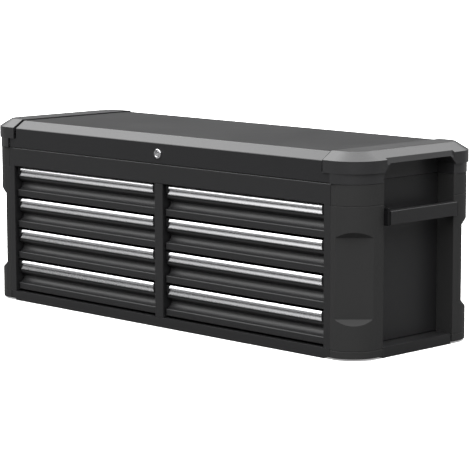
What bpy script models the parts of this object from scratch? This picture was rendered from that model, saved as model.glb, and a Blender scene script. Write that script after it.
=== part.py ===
"""Top tool chest: eight drawers in two banks under a hinged lid, between four moulded corner columns.

Units are metres. X runs along the front, Y runs from the front to the back, Z is up.
Every piece is drawn from the steel front plane (y = 0) and hangs on one empty, which moves the
chest so that its origin lies under the middle of its box, on the surface that it stands on.
"""
import math

import bmesh
import bpy
from mathutils import Matrix, Vector

# Carcass
case_depth = 0.349
sheet = 0.0012
fit = 0.0003
seam = 0.0006
overrun = 0.004
weld = 0.000005
base_height = 0.0195
sill_gap = 0.0020
base_rail_x = 0.5205
side_skin_x = 0.4815
opening_x = 0.4432
divider_half = 0.0117
header_height = 0.0385
header_flange = 0.026
till_ledge = 0.018

# Corner columns
column_x = 0.522
column_proud = 0.002
column_radius = 0.062
column_side = 0.0155
column_foot = 0.0035
column_wall = 0.003
column_flap = 0.0050
facet_depth = 0.011
facet_start = 0.0725
facet_drop = 0.0978
facet_half_width = 0.045
ring_rise = 0.0140
band_drop = 0.0395
groove_radius = 0.0008

# Lid
lid_skirt = 0.0405
lid_rise = 0.0149
lid_chamfer = 0.0233
lid_return = 0.010
level_share = 0.9
cap_seam_x = 0.4417
cap_x = 0.526
cap_proud = 0.003
cap_rise = 0.002
cap_block = 0.0189
cap_wall = 0.0025
lip_drop = 0.0056
lip_height = 0.0110
lip_inset = 0.0054
lip_overhang = 0.0005
lip_end = 0.004
recess_corner = 0.014

# Drawers
rows = 4
drawer_pitch = 0.066
front_gap = 0.0050
front_top_gap = 0.0025
front_side_gap = 0.003
front_recess = 0.006
front_sheet = 0.0012
front_fold = 0.012
face_inset = 0.0032
face_height = 0.006
scoop_height = 0.015
scoop_depth = 0.0145
scoop_steps = 5
front_lip = 0.014
pull_height = 0.018
pull_depth = 0.008
pull_end_gap = 0.010
cap_length = 0.0055

# Sections of the pull strip and of its end cap: shares of the strip's depth, then of its height
strip_shares = (
    (0.28, 0.0), (0.08, 0.04), (0.0, 0.12), (0.0, 0.26), (0.22, 0.30), (0.22, 0.43), (0.0, 0.48),
    (0.08, 0.70), (0.25, 0.88), (0.45, 1.0),
)
cap_shares = ((0.28, 0.0), (0.08, 0.04), (0.0, 0.12), (0.0, 0.80), (0.28, 1.0))

# Drawer trays
tray_height = 0.050
tray_start = 0.0250
tray_back_gap = 0.0240
tray_drop = 0.005
tray_sheet = 0.001

# Telescopic slides
slide_space = 0.0135
slide_height = 0.035
slide_start = 0.024
slide_back_gap = 0.029
slide_sheet = 0.0012
slide_gap = 0.0008
slide_drop = 0.030

# Side handles
handle_x = 0.533
handle_thickness = 0.016
handle_drop = 0.0510
handle_height = 0.0260
handle_wall = 0.002
handle_edge = 0.0015
socket_length = 0.005
socket_rise = 0.0060

# Hinge
knuckle_radius = 0.0036
pin_radius = 0.0016
hinge_half = 0.390
knuckle_count = 7
leaf_reach = 0.0240

# Gas struts
strut_x = 0.4660
strut_foot_back = 0.019
strut_foot_drop = 0.016
strut_head_back = 0.149
strut_head_drop = 0.0111
strut_radius = 0.0070
rod_radius = 0.0030
stud_radius = 0.0030
strut_eye_radius = 0.0065
strut_eye_width = 0.008
strut_body_start = 0.010
strut_body_end = 0.098
rod_start = 0.060

# Lock
lock_rise = 0.0199
lock_flange_radius = 0.0095
lock_flange_proud = 0.0028
lock_body_radius = 0.0080
lock_length = 0.0200
plug_radius = 0.0056
plug_face_inset = 0.0006
key_slot_width = 0.0012
key_slot_height = 0.0070
key_slot_depth = 0.010
cam_reach = 0.0260
cam_width = 0.0100
cam_thickness = 0.0020
cam_clearance = 0.0015
hook_length = 0.0060
hook_height = 0.0035
nut_width = 0.0035
nut_radius = 0.0105

# Round stretches
arc_steps = 10
round_steps = 24
pin_steps = 12

# Heights that follow from the sizes above
opening_top = base_height + sill_gap + rows * drawer_pitch
case_top = opening_top + header_height
front_height = drawer_pitch - front_gap
till_floor_z = opening_top + sheet + fit
lid_low = case_top + seam
lid_edge = lid_low + lid_skirt
lid_top = lid_edge + lid_rise
cap_low = lid_low + cap_block
lip_low = lid_edge - lip_drop
lip_high = lip_low + lip_height
facet_low = column_foot + facet_start
facet_high = case_top - facet_drop
ring_line = column_foot + ring_rise
band_line = case_top - band_drop
handle_high = case_top - handle_drop
handle_low = handle_high - handle_height
socket_high = handle_high + socket_rise
lock_z = lid_low + lock_rise
hinge_z = (case_top + lid_low) / 2
strut_foot_z = case_top - strut_foot_drop
strut_head_z = lid_edge - strut_head_drop

# Depths and widths that follow
hinge_y = case_depth + fit + knuckle_radius
origin_y = -(hinge_y + knuckle_radius - cap_proud) / 2
strut_foot_y = case_depth - strut_foot_back
strut_head_y = case_depth - strut_head_back
tray_length = case_depth - tray_back_gap - tray_start
slide_length = case_depth - slide_back_gap - slide_start
column_length = column_radius + column_side
column_edge = column_length - column_proud
column_seam_x = column_x - column_radius - seam
column_inner_x = side_skin_x + seam
facet_back = column_x - 2 * column_radius + column_proud
facet_back += math.sqrt(2) * (column_radius - facet_depth - column_wall)
bank_width = opening_x - divider_half
bank_middle = (opening_x + divider_half) / 2
front_half = bank_width / 2 - front_side_gap
tray_half = bank_width / 2 - slide_space
strip_half = bank_width / 2 - pull_end_gap

for leftover in list(bpy.data.objects):
    bpy.data.objects.remove(leftover)

chest = bpy.data.collections.new("tool_chest")
workshop = bpy.data.collections.new("cutters")
bpy.context.scene.collection.children.link(chest)
bpy.context.scene.collection.children.link(workshop)

PLANES = {
    "XY": Matrix(((1, 0, 0), (0, 1, 0), (0, 0, 1))).to_4x4(),
    "YZ": Matrix(((0, 0, 1), (1, 0, 0), (0, 1, 0))).to_4x4(),
    "XZ": Matrix(((1, 0, 0), (0, 0, -1), (0, 1, 0))).to_4x4(),
}


def make_material(name, grey, roughness, metallic=0.0):
    """A Principled material of one even colour, from an sRGB grey level."""
    material = bpy.data.materials.new(name)
    material.use_nodes = True
    shader = material.node_tree.nodes["Principled BSDF"]
    level = ((grey + 0.055) / 1.055) ** 2.4
    shader.inputs["Base Color"].default_value = (level, level, level, 1.0)
    shader.inputs["Roughness"].default_value = roughness
    shader.inputs["Metallic"].default_value = metallic
    return material


coated_steel = make_material("powder_coated_steel", 0.17, 0.45)
lid_steel = make_material("powder_coated_lid_steel", 0.33, 0.55)
moulded_plastic = make_material("moulded_black_plastic", 0.19, 0.50)
cap_plastic = make_material("moulded_lid_plastic", 0.24, 0.45)
aluminium = make_material("brushed_aluminium", 0.90, 0.25, 1.0)
zinc_steel = make_material("zinc_plated_steel", 0.72, 0.35, 1.0)
chrome = make_material("chrome_plated_zinc", 0.85, 0.15, 1.0)
black_rod_steel = make_material("black_tube_steel", 0.08, 0.35, 0.5)


def empty(name, location, parent=None):
    """A guide that carries one moving body on its joint."""
    guide = bpy.data.objects.new(name, None)
    chest.objects.link(guide)
    guide.parent = parent
    guide.location = location
    return guide


def clean(mesh):
    """Weld doubles and turn every face outwards."""
    shape = bmesh.new()
    shape.from_mesh(mesh)
    bmesh.ops.remove_doubles(shape, verts=shape.verts, dist=weld)
    bmesh.ops.recalc_face_normals(shape, faces=shape.faces)
    shape.to_mesh(mesh)
    shape.free()
    return mesh


def whole_caps(mesh):
    """Join the triangles of the two flat ends of an extruded outline, each into one face."""
    shape = bmesh.new()
    shape.from_mesh(mesh)
    bmesh.ops.remove_doubles(shape, verts=shape.verts, dist=weld)
    for side in (1, -1):
        end = [face for face in shape.faces if all(vertex.co.z * side > 0 for vertex in face.verts)]
        bmesh.ops.dissolve_faces(shape, faces=end)
    shape.to_mesh(mesh)
    shape.free()


def shade(mesh):
    """Smooth round stretches and keep the folds sharp."""
    mesh.shade_smooth()
    mesh.set_sharp_from_angle(angle=math.radians(30))
    return mesh


def evaluated_mesh(holder):
    """The mesh of an object with its modifiers, in its own axes."""
    bpy.context.view_layer.update()
    graph = bpy.context.evaluated_depsgraph_get()
    return bpy.data.meshes.new_from_object(holder.evaluated_get(graph))


def from_holder(holder):
    """Turn a curve or a modified object into a plain mesh and remove the object."""
    mesh = evaluated_mesh(holder)
    if holder.type == "CURVE" and holder.data.dimensions == "2D":
        whole_caps(mesh)
    mesh.transform(holder.matrix_world)
    bpy.data.objects.remove(holder)
    return clean(mesh)


def prism(points, low, high, plane="XY"):
    """A flat closed outline, extruded from low to high across its plane."""
    curve = bpy.data.curves.new("outline", "CURVE")
    curve.dimensions = "2D"
    curve.fill_mode = "BOTH"
    curve.extrude = (high - low) / 2
    spline = curve.splines.new("POLY")
    spline.points.add(len(points) - 1)
    for spot, (u, v) in zip(spline.points, points):
        spot.co = (u, v, 0, 1)
    spline.use_cyclic_u = True
    holder = bpy.data.objects.new("outline", curve)
    workshop.objects.link(holder)
    middle = (low + high) / 2
    if plane == "XZ":
        middle = -middle
    holder.matrix_world = PLANES[plane] @ Matrix.Translation((0, 0, middle))
    return from_holder(holder)


def box(low, high):
    """A block between two corners."""
    shape = bmesh.new()
    size = Vector(high) - Vector(low)
    middle = (Vector(high) + Vector(low)) / 2
    bmesh.ops.create_cube(shape, size=1, matrix=Matrix.Translation(middle) @ Matrix.Diagonal(size).to_4x4())
    mesh = bpy.data.meshes.new("block")
    shape.to_mesh(mesh)
    shape.free()
    return mesh


def rod(radius, start, end, steps=round_steps):
    """A round bar from one point to another."""
    start = Vector(start)
    end = Vector(end)
    along = end - start
    turn = Vector((0, 0, 1)).rotation_difference(along).to_matrix().to_4x4()
    shape = bmesh.new()
    bmesh.ops.create_cone(shape, cap_ends=True, segments=steps, radius1=radius, radius2=radius,
                          depth=along.length, matrix=Matrix.Translation((start + end) / 2) @ turn)
    mesh = bpy.data.meshes.new("bar")
    shape.to_mesh(mesh)
    shape.free()
    return mesh


def groove(points, height):
    """A thin bar with a square section along an open path, which cuts a V-shaped line."""
    curve = bpy.data.curves.new("groove", "CURVE")
    curve.dimensions = "3D"
    curve.bevel_depth = groove_radius
    curve.bevel_resolution = 0
    curve.use_fill_caps = True
    spline = curve.splines.new("POLY")
    spline.points.add(len(points) - 1)
    for spot, (x, y) in zip(spline.points, points):
        spot.co = (x, y, height, 1)
    holder = bpy.data.objects.new("groove", curve)
    workshop.objects.link(holder)
    return from_holder(holder)


def combine(body, steps):
    """Apply Boolean steps to a mesh in order; a step is a letter (+ or -) and a mesh."""
    holder = bpy.data.objects.new("blank", body)
    workshop.objects.link(holder)
    tools = []
    for letter, mesh in steps:
        tool = bpy.data.objects.new("cutter", mesh)
        workshop.objects.link(tool)
        tool.hide_render = True
        tool.display_type = "WIRE"
        tools.append(tool)
        change = holder.modifiers.new("cut", "BOOLEAN")
        change.operation = "UNION" if letter == "+" else "DIFFERENCE"
        change.object = tool
    mesh = from_holder(holder)
    for tool in tools:
        bpy.data.objects.remove(tool)
    return mesh


def mirrored(mesh, axis, about=0.0):
    """A mirror image of a mesh across the plane axis = about, with its faces still outwards."""
    copy = mesh.copy()
    scale = [1, 1, 1]
    scale[axis] = -1
    shift = [0, 0, 0]
    shift[axis] = 2 * about
    copy.transform(Matrix.Translation(shift) @ Matrix.Diagonal(scale).to_4x4())
    copy.flip_normals()
    return copy


def moved(mesh, offset):
    """A copy of a mesh, shifted."""
    copy = mesh.copy()
    copy.transform(Matrix.Translation(offset))
    return copy


def add(name, mesh, material, parent):
    """A finished piece: its mesh is drawn from the chest's front plane and hangs on its guide."""
    mesh = mesh.copy()
    mesh.name = name
    piece = bpy.data.objects.new(name, mesh)
    chest.objects.link(piece)
    carrier = parent
    base = Vector((0, 0, 0))
    while carrier is not None and carrier is not root:
        base += carrier.location
        carrier = carrier.parent
    mesh.transform(Matrix.Translation(-base))
    mesh.materials.clear()
    mesh.materials.append(material)
    shade(mesh)
    piece.parent = parent
    return piece


def arc(centre, radius, start, end, steps=arc_steps):
    """Points of a round stretch, both ends included; angles in degrees."""
    spots = []
    for step in range(steps + 1):
        angle = math.radians(start + (end - start) * step / steps)
        spots.append((centre[0] + radius * math.cos(angle), centre[1] + radius * math.sin(angle)))
    return spots


def end_plan(inner_x, outer_x, front, back, radius):
    """The plan of one end of the chest: straight on its inner side, with two round outer corners."""
    lower = arc((outer_x - radius, front + radius), radius, -90, 0)
    upper = arc((outer_x - radius, back - radius), radius, 0, 90)
    return [(inner_x, front)] + lower + upper + [(inner_x, back)]


root = empty("chest_origin", (0, origin_y, 0))


# Base pan: a shallow closed box, open above under the drawers, cut in at the four columns
def build_base():
    long_x = column_seam_x - seam
    waist = column_edge + seam
    plan = [
        (-long_x, 0), (long_x, 0), (long_x, waist), (base_rail_x, waist),
        (base_rail_x, case_depth - waist), (long_x, case_depth - waist), (long_x, case_depth),
        (-long_x, case_depth), (-long_x, case_depth - waist), (-base_rail_x, case_depth - waist),
        (-base_rail_x, waist), (-long_x, waist),
    ]
    hollow = [(x - math.copysign(sheet, x), y + (sheet if y < case_depth / 2 else -sheet)) for x, y in plan]
    shell = prism(plan, 0, base_height)
    inside = prism(hollow, sheet, base_height - sheet)
    mouth = box((-opening_x, header_flange, base_height / 2),
                (opening_x, case_depth - header_flange, base_height + overrun))
    add("base_pan", combine(shell, [("-", inside), ("-", mouth)]), coated_steel, root)


def channel(width_from, width_to, half_height, toward):
    """A C-section with its web at width_from and its flanges reaching to width_to, as (x, z)."""
    web = width_from + math.copysign(slide_sheet, toward)
    return [
        (width_from, -half_height), (width_to, -half_height), (width_to, -half_height + slide_sheet),
        (web, -half_height + slide_sheet), (web, half_height - slide_sheet),
        (width_to, half_height - slide_sheet), (width_to, half_height), (width_from, half_height),
    ]


def slide_members():
    """The three nested members of a right-hand slide, about the middle of a drawer's top front edge."""
    half = slide_height / 2
    middle_half = half - slide_sheet - slide_gap
    inner_half = middle_half - slide_sheet - slide_gap
    case_web = bank_width / 2 + sheet / 2
    middle_web = case_web - slide_sheet - 2 * slide_gap
    tray_web = tray_half - tray_sheet / 2
    middle_reach = tray_web + slide_sheet + slide_gap
    tray_reach = middle_web - slide_sheet - 2 * slide_gap
    end = slide_start + slide_length
    drop = (0, 0, -slide_drop)
    sections = (
        channel(case_web, middle_reach + slide_gap, half, -1),
        channel(middle_web, middle_reach, middle_half, -1),
        channel(tray_web, tray_reach, inner_half, 1),
    )
    return [moved(prism(section, slide_start, end, "XZ"), drop) for section in sections]


def drawer_spot(side, row):
    """The middle of the top front edge of a drawer; side is 1 on the right and -1 on the left."""
    return Vector((side * bank_middle, 0, opening_top - front_top_gap - row * drawer_pitch))


def flap_corner():
    """The space that the flap of the front right column takes from the sheets behind it."""
    return box((column_seam_x - seam, -overrun, -overrun),
               (column_x, column_inner_x - facet_back + fit, case_top + overrun))


# Side wall: one folded sheet, an outer skin in the recess and an inner one that carries four runners
def build_side_walls():
    low = base_height + fit
    inner_top = till_floor_z - fit
    profile = [
        (side_skin_x, case_top), (side_skin_x, low), (opening_x, low), (opening_x, inner_top),
        (opening_x + sheet, inner_top), (opening_x + sheet, low + sheet),
        (side_skin_x - sheet, low + sheet), (side_skin_x - sheet, case_top),
    ]
    wall = prism(profile, sheet + fit, case_depth - sheet - fit, "XZ")
    stud = rod(stud_radius, (side_skin_x - sheet / 2, strut_foot_y, strut_foot_z),
               (strut_x - strut_eye_width / 2, strut_foot_y, strut_foot_z), pin_steps)
    corner = flap_corner()
    runner = slide_members()[0]
    runners = [("+", moved(runner, drawer_spot(1, row))) for row in range(rows)]
    cuts = [("-", corner), ("-", mirrored(corner, 1, case_depth / 2))]
    wall = combine(wall, cuts + [("+", stud)] + runners)
    add("side_wall_right", wall, coated_steel, root)
    add("side_wall_left", mirrored(wall, 0), coated_steel, root)


# Front frame: the header above the drawers and the two stiles, with folded flanges
def build_front_frame():
    reach = column_seam_x - seam
    low = base_height + fit
    portal = [
        (-reach, low), (-opening_x, low), (-opening_x, opening_top), (opening_x, opening_top),
        (opening_x, low), (reach, low), (reach, case_top), (-reach, case_top),
    ]
    face = prism(portal, 0, sheet, "XZ")
    upper = [
        (sheet / 2, case_top), (header_flange, case_top), (header_flange, case_top - sheet),
        (sheet / 2, case_top - sheet),
    ]
    lower = [(y, z - case_top + sheet + opening_top) for y, z in upper]
    top_rail = prism(upper, -reach + sheet, reach - sheet, "YZ")
    low_rail = prism(lower, -opening_x + fit, opening_x - fit, "YZ")
    cam_start = lock_length + fit
    swing = math.hypot(cam_reach, cam_width / 2 + hook_length)
    cam_slot = box((-cam_width / 2 - cam_clearance, cam_start - cam_clearance, case_top - 2 * sheet),
                   (swing, cam_start + cam_thickness + cam_clearance, case_top + overrun))
    frame = combine(face, [("+", top_rail), ("+", low_rail), ("-", cam_slot)])
    add("front_frame", frame, coated_steel, root)


# Centre divider: a folded channel whose web shows between the two banks, with four runners a side
def build_divider():
    low = base_height + fit
    high = opening_top - fit
    back = case_depth - sheet - fit
    plan = [
        (-divider_half, 0), (divider_half, 0), (divider_half, back), (divider_half - sheet, back),
        (divider_half - sheet, sheet), (-divider_half + sheet, sheet), (-divider_half + sheet, back),
        (-divider_half, back),
    ]
    inward = mirrored(slide_members()[0], 0)
    rights = [moved(inward, drawer_spot(1, row)) for row in range(rows)]
    runners = [("+", one) for one in rights] + [("+", mirrored(one, 0)) for one in rights]
    add("centre_divider", combine(prism(plan, low, high), runners), coated_steel, root)


# Back panel and the floor of the compartment under the lid
def build_panels():
    reach = column_seam_x - seam
    back = box((-reach, case_depth - sheet, base_height + fit), (reach, case_depth, case_top))
    add("back_panel", back, coated_steel, root)
    side = side_skin_x - sheet - fit
    floor = box((-side, sheet + fit, till_floor_z), (side, case_depth - sheet - fit, till_floor_z + sheet))
    ledge = box((-reach + overrun, sheet + fit, till_floor_z + sheet / 2),
                (reach - overrun, 2 * sheet + fit, till_floor_z + till_ledge))
    near = flap_corner()
    far = mirrored(near, 1, case_depth / 2)
    cuts = [near, far, mirrored(near, 0), mirrored(far, 0)]
    add("till_floor", combine(floor, [("-", cut) for cut in cuts] + [("+", ledge)]), coated_steel, root)


# Corner column: a hollow moulding with a round outer corner and a flat facet cut into it
def build_columns():
    centre = (column_x - column_radius, column_radius - column_proud)
    rounded = arc(centre, column_radius, -90, 0)
    outline = [(column_seam_x, -column_proud)] + rounded + [
        (column_x, column_edge), (column_inner_x, column_edge),
        (column_inner_x, column_inner_x - facet_back),
        (column_flap + facet_back, column_flap), (column_seam_x, column_flap),
    ]
    body = prism(outline, column_foot, case_top)
    near = column_inner_x + column_wall
    far = column_x - column_wall
    back = column_edge - column_wall
    hollow = [(near, near - facet_back), (far, far - facet_back), (far, back), (near, back)]
    inside = prism(hollow, column_foot - overrun, case_top - column_wall)
    face = column_radius - facet_depth
    out = column_radius + overrun
    ramp = out - face
    ramps = [(face, facet_low), (out, facet_low - ramp), (out, facet_high + ramp), (face, facet_high)]
    wedge = prism(ramps, -facet_half_width, facet_half_width, "XZ")
    corner = Matrix.Translation((centre[0], centre[1], 0))
    wedge.transform(corner @ Matrix.Rotation(math.radians(-45), 4, "Z"))
    path = [(column_seam_x - overrun, -column_proud)] + rounded + [(column_x, column_edge + overrun)]
    lines = [("-", groove(path, ring_line)), ("-", groove(path, band_line))]
    front_right = combine(body, [("-", inside), ("-", wedge)] + lines)
    rear_right = mirrored(front_right, 1, case_depth / 2)
    add("column_front_right", front_right, moulded_plastic, root)
    add("column_rear_right", rear_right, moulded_plastic, root)
    add("column_front_left", mirrored(front_right, 0), moulded_plastic, root)
    add("column_rear_left", mirrored(rear_right, 0), moulded_plastic, root)


# Side handle: a rectangular tube between the columns, with a deeper socket at each end
def build_handles():
    near = column_edge + seam / 2
    far = case_depth - near
    inner = handle_x - handle_thickness
    low = (inner, near + socket_length / 2, handle_low)
    high = (handle_x, far - socket_length / 2, handle_high)
    holder = bpy.data.objects.new("bar", box(low, high))
    workshop.objects.link(holder)
    edge = holder.modifiers.new("edge", "BEVEL")
    edge.width = handle_edge
    edge.segments = 2
    tube = from_holder(holder)
    socket = box((inner - seam, near, handle_low - seam),
                 (handle_x - handle_edge, near + socket_length, socket_high))
    bore = box((inner + handle_wall, near - overrun, handle_low + handle_wall),
               (handle_x - handle_wall, far + overrun, handle_high - handle_wall))
    bar = combine(tube, [("+", socket), ("+", mirrored(socket, 1, case_depth / 2)), ("-", bore)])
    add("side_handle_right", bar, coated_steel, root)
    add("side_handle_left", mirrored(bar, 0), coated_steel, root)


# Steel lid: one folded sheet with a chamfer along its front and back edges
def build_lid(lid):
    reach = column_seam_x - seam
    outer = [
        (lid_return, lid_low), (0, lid_low), (0, lid_edge), (lid_chamfer, lid_top),
        (case_depth - lid_chamfer, lid_top), (case_depth, lid_edge), (case_depth, lid_low),
        (case_depth - lid_return, lid_low),
    ]
    slope = math.atan2(lid_top - lid_edge, lid_chamfer)
    side_drop = sheet * math.tan((math.pi / 2 - slope) / 2)
    top_drop = sheet * math.tan(slope / 2)
    inner = [
        (case_depth - lid_return, lid_low + sheet), (case_depth - sheet, lid_low + sheet),
        (case_depth - sheet, lid_edge - side_drop), (case_depth - lid_chamfer - top_drop, lid_top - sheet),
        (lid_chamfer + top_drop, lid_top - sheet), (sheet, lid_edge - side_drop),
        (sheet, lid_low + sheet), (lid_return, lid_low + sheet),
    ]
    pan = prism(outer + inner, -reach, reach, "YZ")
    lock_hole = rod(lock_body_radius + fit, (0, -overrun, lock_z), (0, overrun, lock_z))
    add("lid_panel", combine(pan, [("-", lock_hole)]), lid_steel, lid)


# Lid end: a moulding round each end of the lid, cut back over the side recess
def chamfered_end(plan, low, edge, width, rise):
    """An extruded plan whose top edge is chamfered all round."""
    slab = prism(plan, low, edge)
    shape = bmesh.new()
    shape.from_mesh(slab)
    top = [face for face in shape.faces if face.normal.z > level_share]
    bmesh.ops.dissolve_faces(shape, faces=top)
    top = [face for face in shape.faces if face.normal.z > level_share]
    bmesh.ops.inset_region(shape, faces=top, thickness=width, depth=rise, use_even_offset=True)
    shape.to_mesh(slab)
    shape.free()
    return clean(slab)


def build_lid_ends(lid):
    back = case_depth
    far_in = cap_seam_x - 3 * lid_chamfer
    radius = column_radius
    upper_plan = end_plan(far_in, cap_x, -cap_proud, back + cap_proud, radius)
    cap_edge = lid_edge + cap_rise - sheet / 2
    cap_top = lid_top + cap_rise
    chamfer = lid_chamfer + cap_rise
    upper = chamfered_end(upper_plan, cap_low, cap_edge, chamfer, cap_top - cap_edge)
    lower_plan = end_plan(column_seam_x, column_x, -column_proud, back + column_proud, radius)
    lower = prism(lower_plan, lid_low, cap_low + sheet)
    hollow_plan = end_plan(far_in - overrun, cap_x - cap_wall, -fit, back + fit, radius - cap_wall)
    hollow_edge = lid_edge + fit
    hollow_rise = lid_top + fit - hollow_edge
    high_hollow = chamfered_end(hollow_plan, cap_low + cap_wall, hollow_edge, lid_chamfer, hollow_rise)
    low_hollow_plan = end_plan(column_seam_x - overrun, column_x - cap_wall, cap_wall - column_proud,
                               back + column_proud - cap_wall, radius - cap_wall)
    floor_top = cap_low + cap_wall + sheet
    low_hollow = prism(low_hollow_plan, lid_low - overrun, floor_top)
    panel_room = box((far_in - overrun, -fit, lid_low - overrun),
                     (column_seam_x - fit, back + fit, floor_top))
    front = column_edge
    rear = back - column_edge
    low = lid_low - 2 * overrun

    def recess(margin, inner_x):
        sill = lip_low + margin
        corner = recess_corner
        shape = [
            (front - margin, low), (rear + margin, low), (rear + margin, sill - corner),
            (rear + margin - corner, sill), (front - margin + corner, sill),
            (front - margin, sill - corner),
        ]
        return prism(shape, inner_x, cap_x + overrun, "YZ")

    keep = recess(cap_wall, side_skin_x - cap_wall)
    low_hollow = combine(low_hollow, [("-", keep)])
    lip_wall = box((cap_x - lip_inset - cap_wall, front + lip_end - cap_wall, low),
                   (cap_x + overrun, rear - lip_end + cap_wall, lip_high + overrun))
    high_hollow = combine(high_hollow, [("-", keep), ("-", lip_wall)])
    trim = box((far_in - overrun, -2 * overrun, low), (cap_seam_x, back + 2 * overrun, cap_top + overrun))
    lip = [
        (cap_x - lip_inset, lip_high), (cap_x - lip_overhang, lip_low - overrun / 2),
        (cap_x + overrun, lip_low - overrun / 2), (cap_x + overrun, lip_high),
    ]
    lip_cut = prism(lip, front + lip_end, rear - lip_end, "XZ")
    stud = rod(strut_eye_radius / 2, (side_skin_x - cap_wall / 2, strut_head_y, strut_head_z),
               (strut_x + strut_eye_width / 2 + fit, strut_head_y, strut_head_z), pin_steps)
    end = combine(upper, [
        ("+", lower), ("-", low_hollow), ("-", high_hollow), ("-", panel_room),
        ("-", recess(0, side_skin_x)), ("-", lip_cut), ("-", trim), ("+", stud),
    ])
    add("lid_end_right", end, cap_plastic, lid)
    add("lid_end_left", mirrored(end, 0), cap_plastic, lid)


# Hinge: two folded leaves with alternate knuckles on one long pin
def hinge_leaf(owned, plate_low, plate_high, tab_to):
    step = 2 * hinge_half / knuckle_count
    near = case_depth + fit
    plate = box((-hinge_half, near, plate_low), (hinge_half, near + sheet, plate_high))
    steps = []
    for index in owned:
        left = -hinge_half + index * step + fit
        right = left + step - 2 * fit
        base = plate_high if tab_to > plate_high else plate_low
        inside = base - sheet if tab_to > base else base + sheet
        tab = box((left, near, min(inside, tab_to)), (right, near + sheet, max(inside, tab_to)))
        barrel = rod(knuckle_radius, (left, hinge_y, hinge_z), (right, hinge_y, hinge_z), pin_steps)
        steps += [("+", tab), ("+", barrel)]
    bore = rod(pin_radius + fit / 2, (-hinge_half - overrun, hinge_y, hinge_z),
               (hinge_half + overrun, hinge_y, hinge_z), pin_steps)
    return combine(plate, steps + [("-", bore)])


def build_hinge(lid):
    clear = knuckle_radius + seam
    case_leaf = hinge_leaf(range(0, knuckle_count, 2), hinge_z - leaf_reach, hinge_z - clear, hinge_z)
    lid_leaf = hinge_leaf(range(1, knuckle_count, 2), hinge_z + clear, hinge_z + leaf_reach, hinge_z)
    add("hinge_case_leaf", case_leaf, zinc_steel, root)
    add("hinge_lid_leaf", lid_leaf, zinc_steel, lid)
    end = hinge_half + sheet
    pin = rod(pin_radius, (-end, hinge_y, hinge_z), (end, hinge_y, hinge_z), pin_steps)
    add("hinge_pin", pin, zinc_steel, root)


# Gas struts: a cylinder that swings on the case stud and a rod that slides out of it
def build_struts():
    foot = Vector((0, strut_foot_y, strut_foot_z))
    head = Vector((0, strut_head_y, strut_head_z))
    along = (head - foot).normalized()
    for side, name in ((1, "right"), (-1, "left")):
        x = Vector((side * strut_x, 0, 0))
        half = Vector((strut_eye_width / 2, 0, 0))
        pivot = empty("strut_%s_pivot" % name, foot + x, root)
        slide = empty("strut_%s_slide" % name, (0, 0, 0), pivot)
        low = foot + x
        start = low + along * strut_body_start
        tube = rod(strut_radius, start, low + along * strut_body_end, pin_steps)
        eye = rod(strut_eye_radius, low - half, low + half, pin_steps)
        neck = rod(rod_radius, low + along * stud_radius, start + along * sheet, pin_steps)
        hole = rod(stud_radius + fit, low - 2 * half, low + 2 * half, pin_steps)
        bore_start = low + along * (rod_start - overrun)
        bore = rod(rod_radius + fit, bore_start, low + along * (strut_body_end + overrun), pin_steps)
        cylinder = combine(tube, [("+", neck), ("+", eye), ("-", hole), ("-", bore)])
        add("strut_%s_cylinder" % name, cylinder, black_rod_steel, pivot)
        shaft = rod(rod_radius, low + along * rod_start, head + x - along * sheet, pin_steps)
        end = rod(strut_eye_radius, head + x - half, head + x + half, pin_steps)
        add("strut_%s_rod" % name, combine(shaft, [("+", end)]), zinc_steel, slide)


# Lock: a barrel in the lid's front skirt, with a plug that turns and carries the cam
def build_lock(lid):
    front = -lock_flange_proud
    back = lock_length
    flange = rod(lock_flange_radius, (0, front, lock_z), (0, -fit, lock_z))
    body = rod(lock_body_radius, (0, -lock_flange_proud / 2, lock_z), (0, back, lock_z))
    nut_start = sheet + fit
    nut = rod(nut_radius, (0, nut_start, lock_z), (0, nut_start + nut_width, lock_z), 6)
    bore = rod(plug_radius + fit, (0, front - overrun, lock_z), (0, back + overrun, lock_z))
    add("lock_barrel", combine(flange, [("+", body), ("+", nut), ("-", bore)]), chrome, lid)
    turn = empty("lock_turn", Vector((0, 0, lock_z)) - lid.location, lid)
    end = back + fit
    plug = rod(plug_radius, (0, front + plug_face_inset, lock_z), (0, end + cam_thickness / 2, lock_z))
    slot = box((-key_slot_width / 2, front - overrun, lock_z - key_slot_height / 2),
               (key_slot_width / 2, front + key_slot_depth, lock_z + key_slot_height / 2))
    low = lock_z - cam_width / 2
    cam = box((-cam_width / 2, end, low), (cam_reach, end + cam_thickness, lock_z + cam_width / 2))
    hook = box((cam_reach - hook_height, end, low - hook_length), (cam_reach, end + cam_thickness, lock_z))
    add("lock_plug", combine(plug, [("-", slot), ("+", cam), ("+", hook)]), chrome, turn)


# Drawer front: one folded sheet with a straight face, a finger scoop and a flat lip
def front_profile():
    """The outer line of the front from its top fold down, as (y, z) from the drawer's top front edge."""
    back = tray_start + tray_sheet / 2
    seat = front_recess + pull_depth + fit
    face = front_recess + face_inset
    face_top = -pull_height - seam
    points = [(back, -front_fold), (back, 0), (seat, 0), (seat, face_top), (face, face_top)]
    points += [(face, face_top - face_height)]
    scoop = arc((front_recess, -front_height + front_lip), 1, 0, 90, scoop_steps)
    for y, z in scoop:
        across = (y - front_recess) * scoop_depth
        below = (z + front_height - front_lip) * scoop_height
        points.append((front_recess + across, -front_height + front_lip + scoop_height - below))
    points += [(front_recess, -front_height), (back, -front_height), (back, -front_height + front_fold)]
    return points


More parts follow.
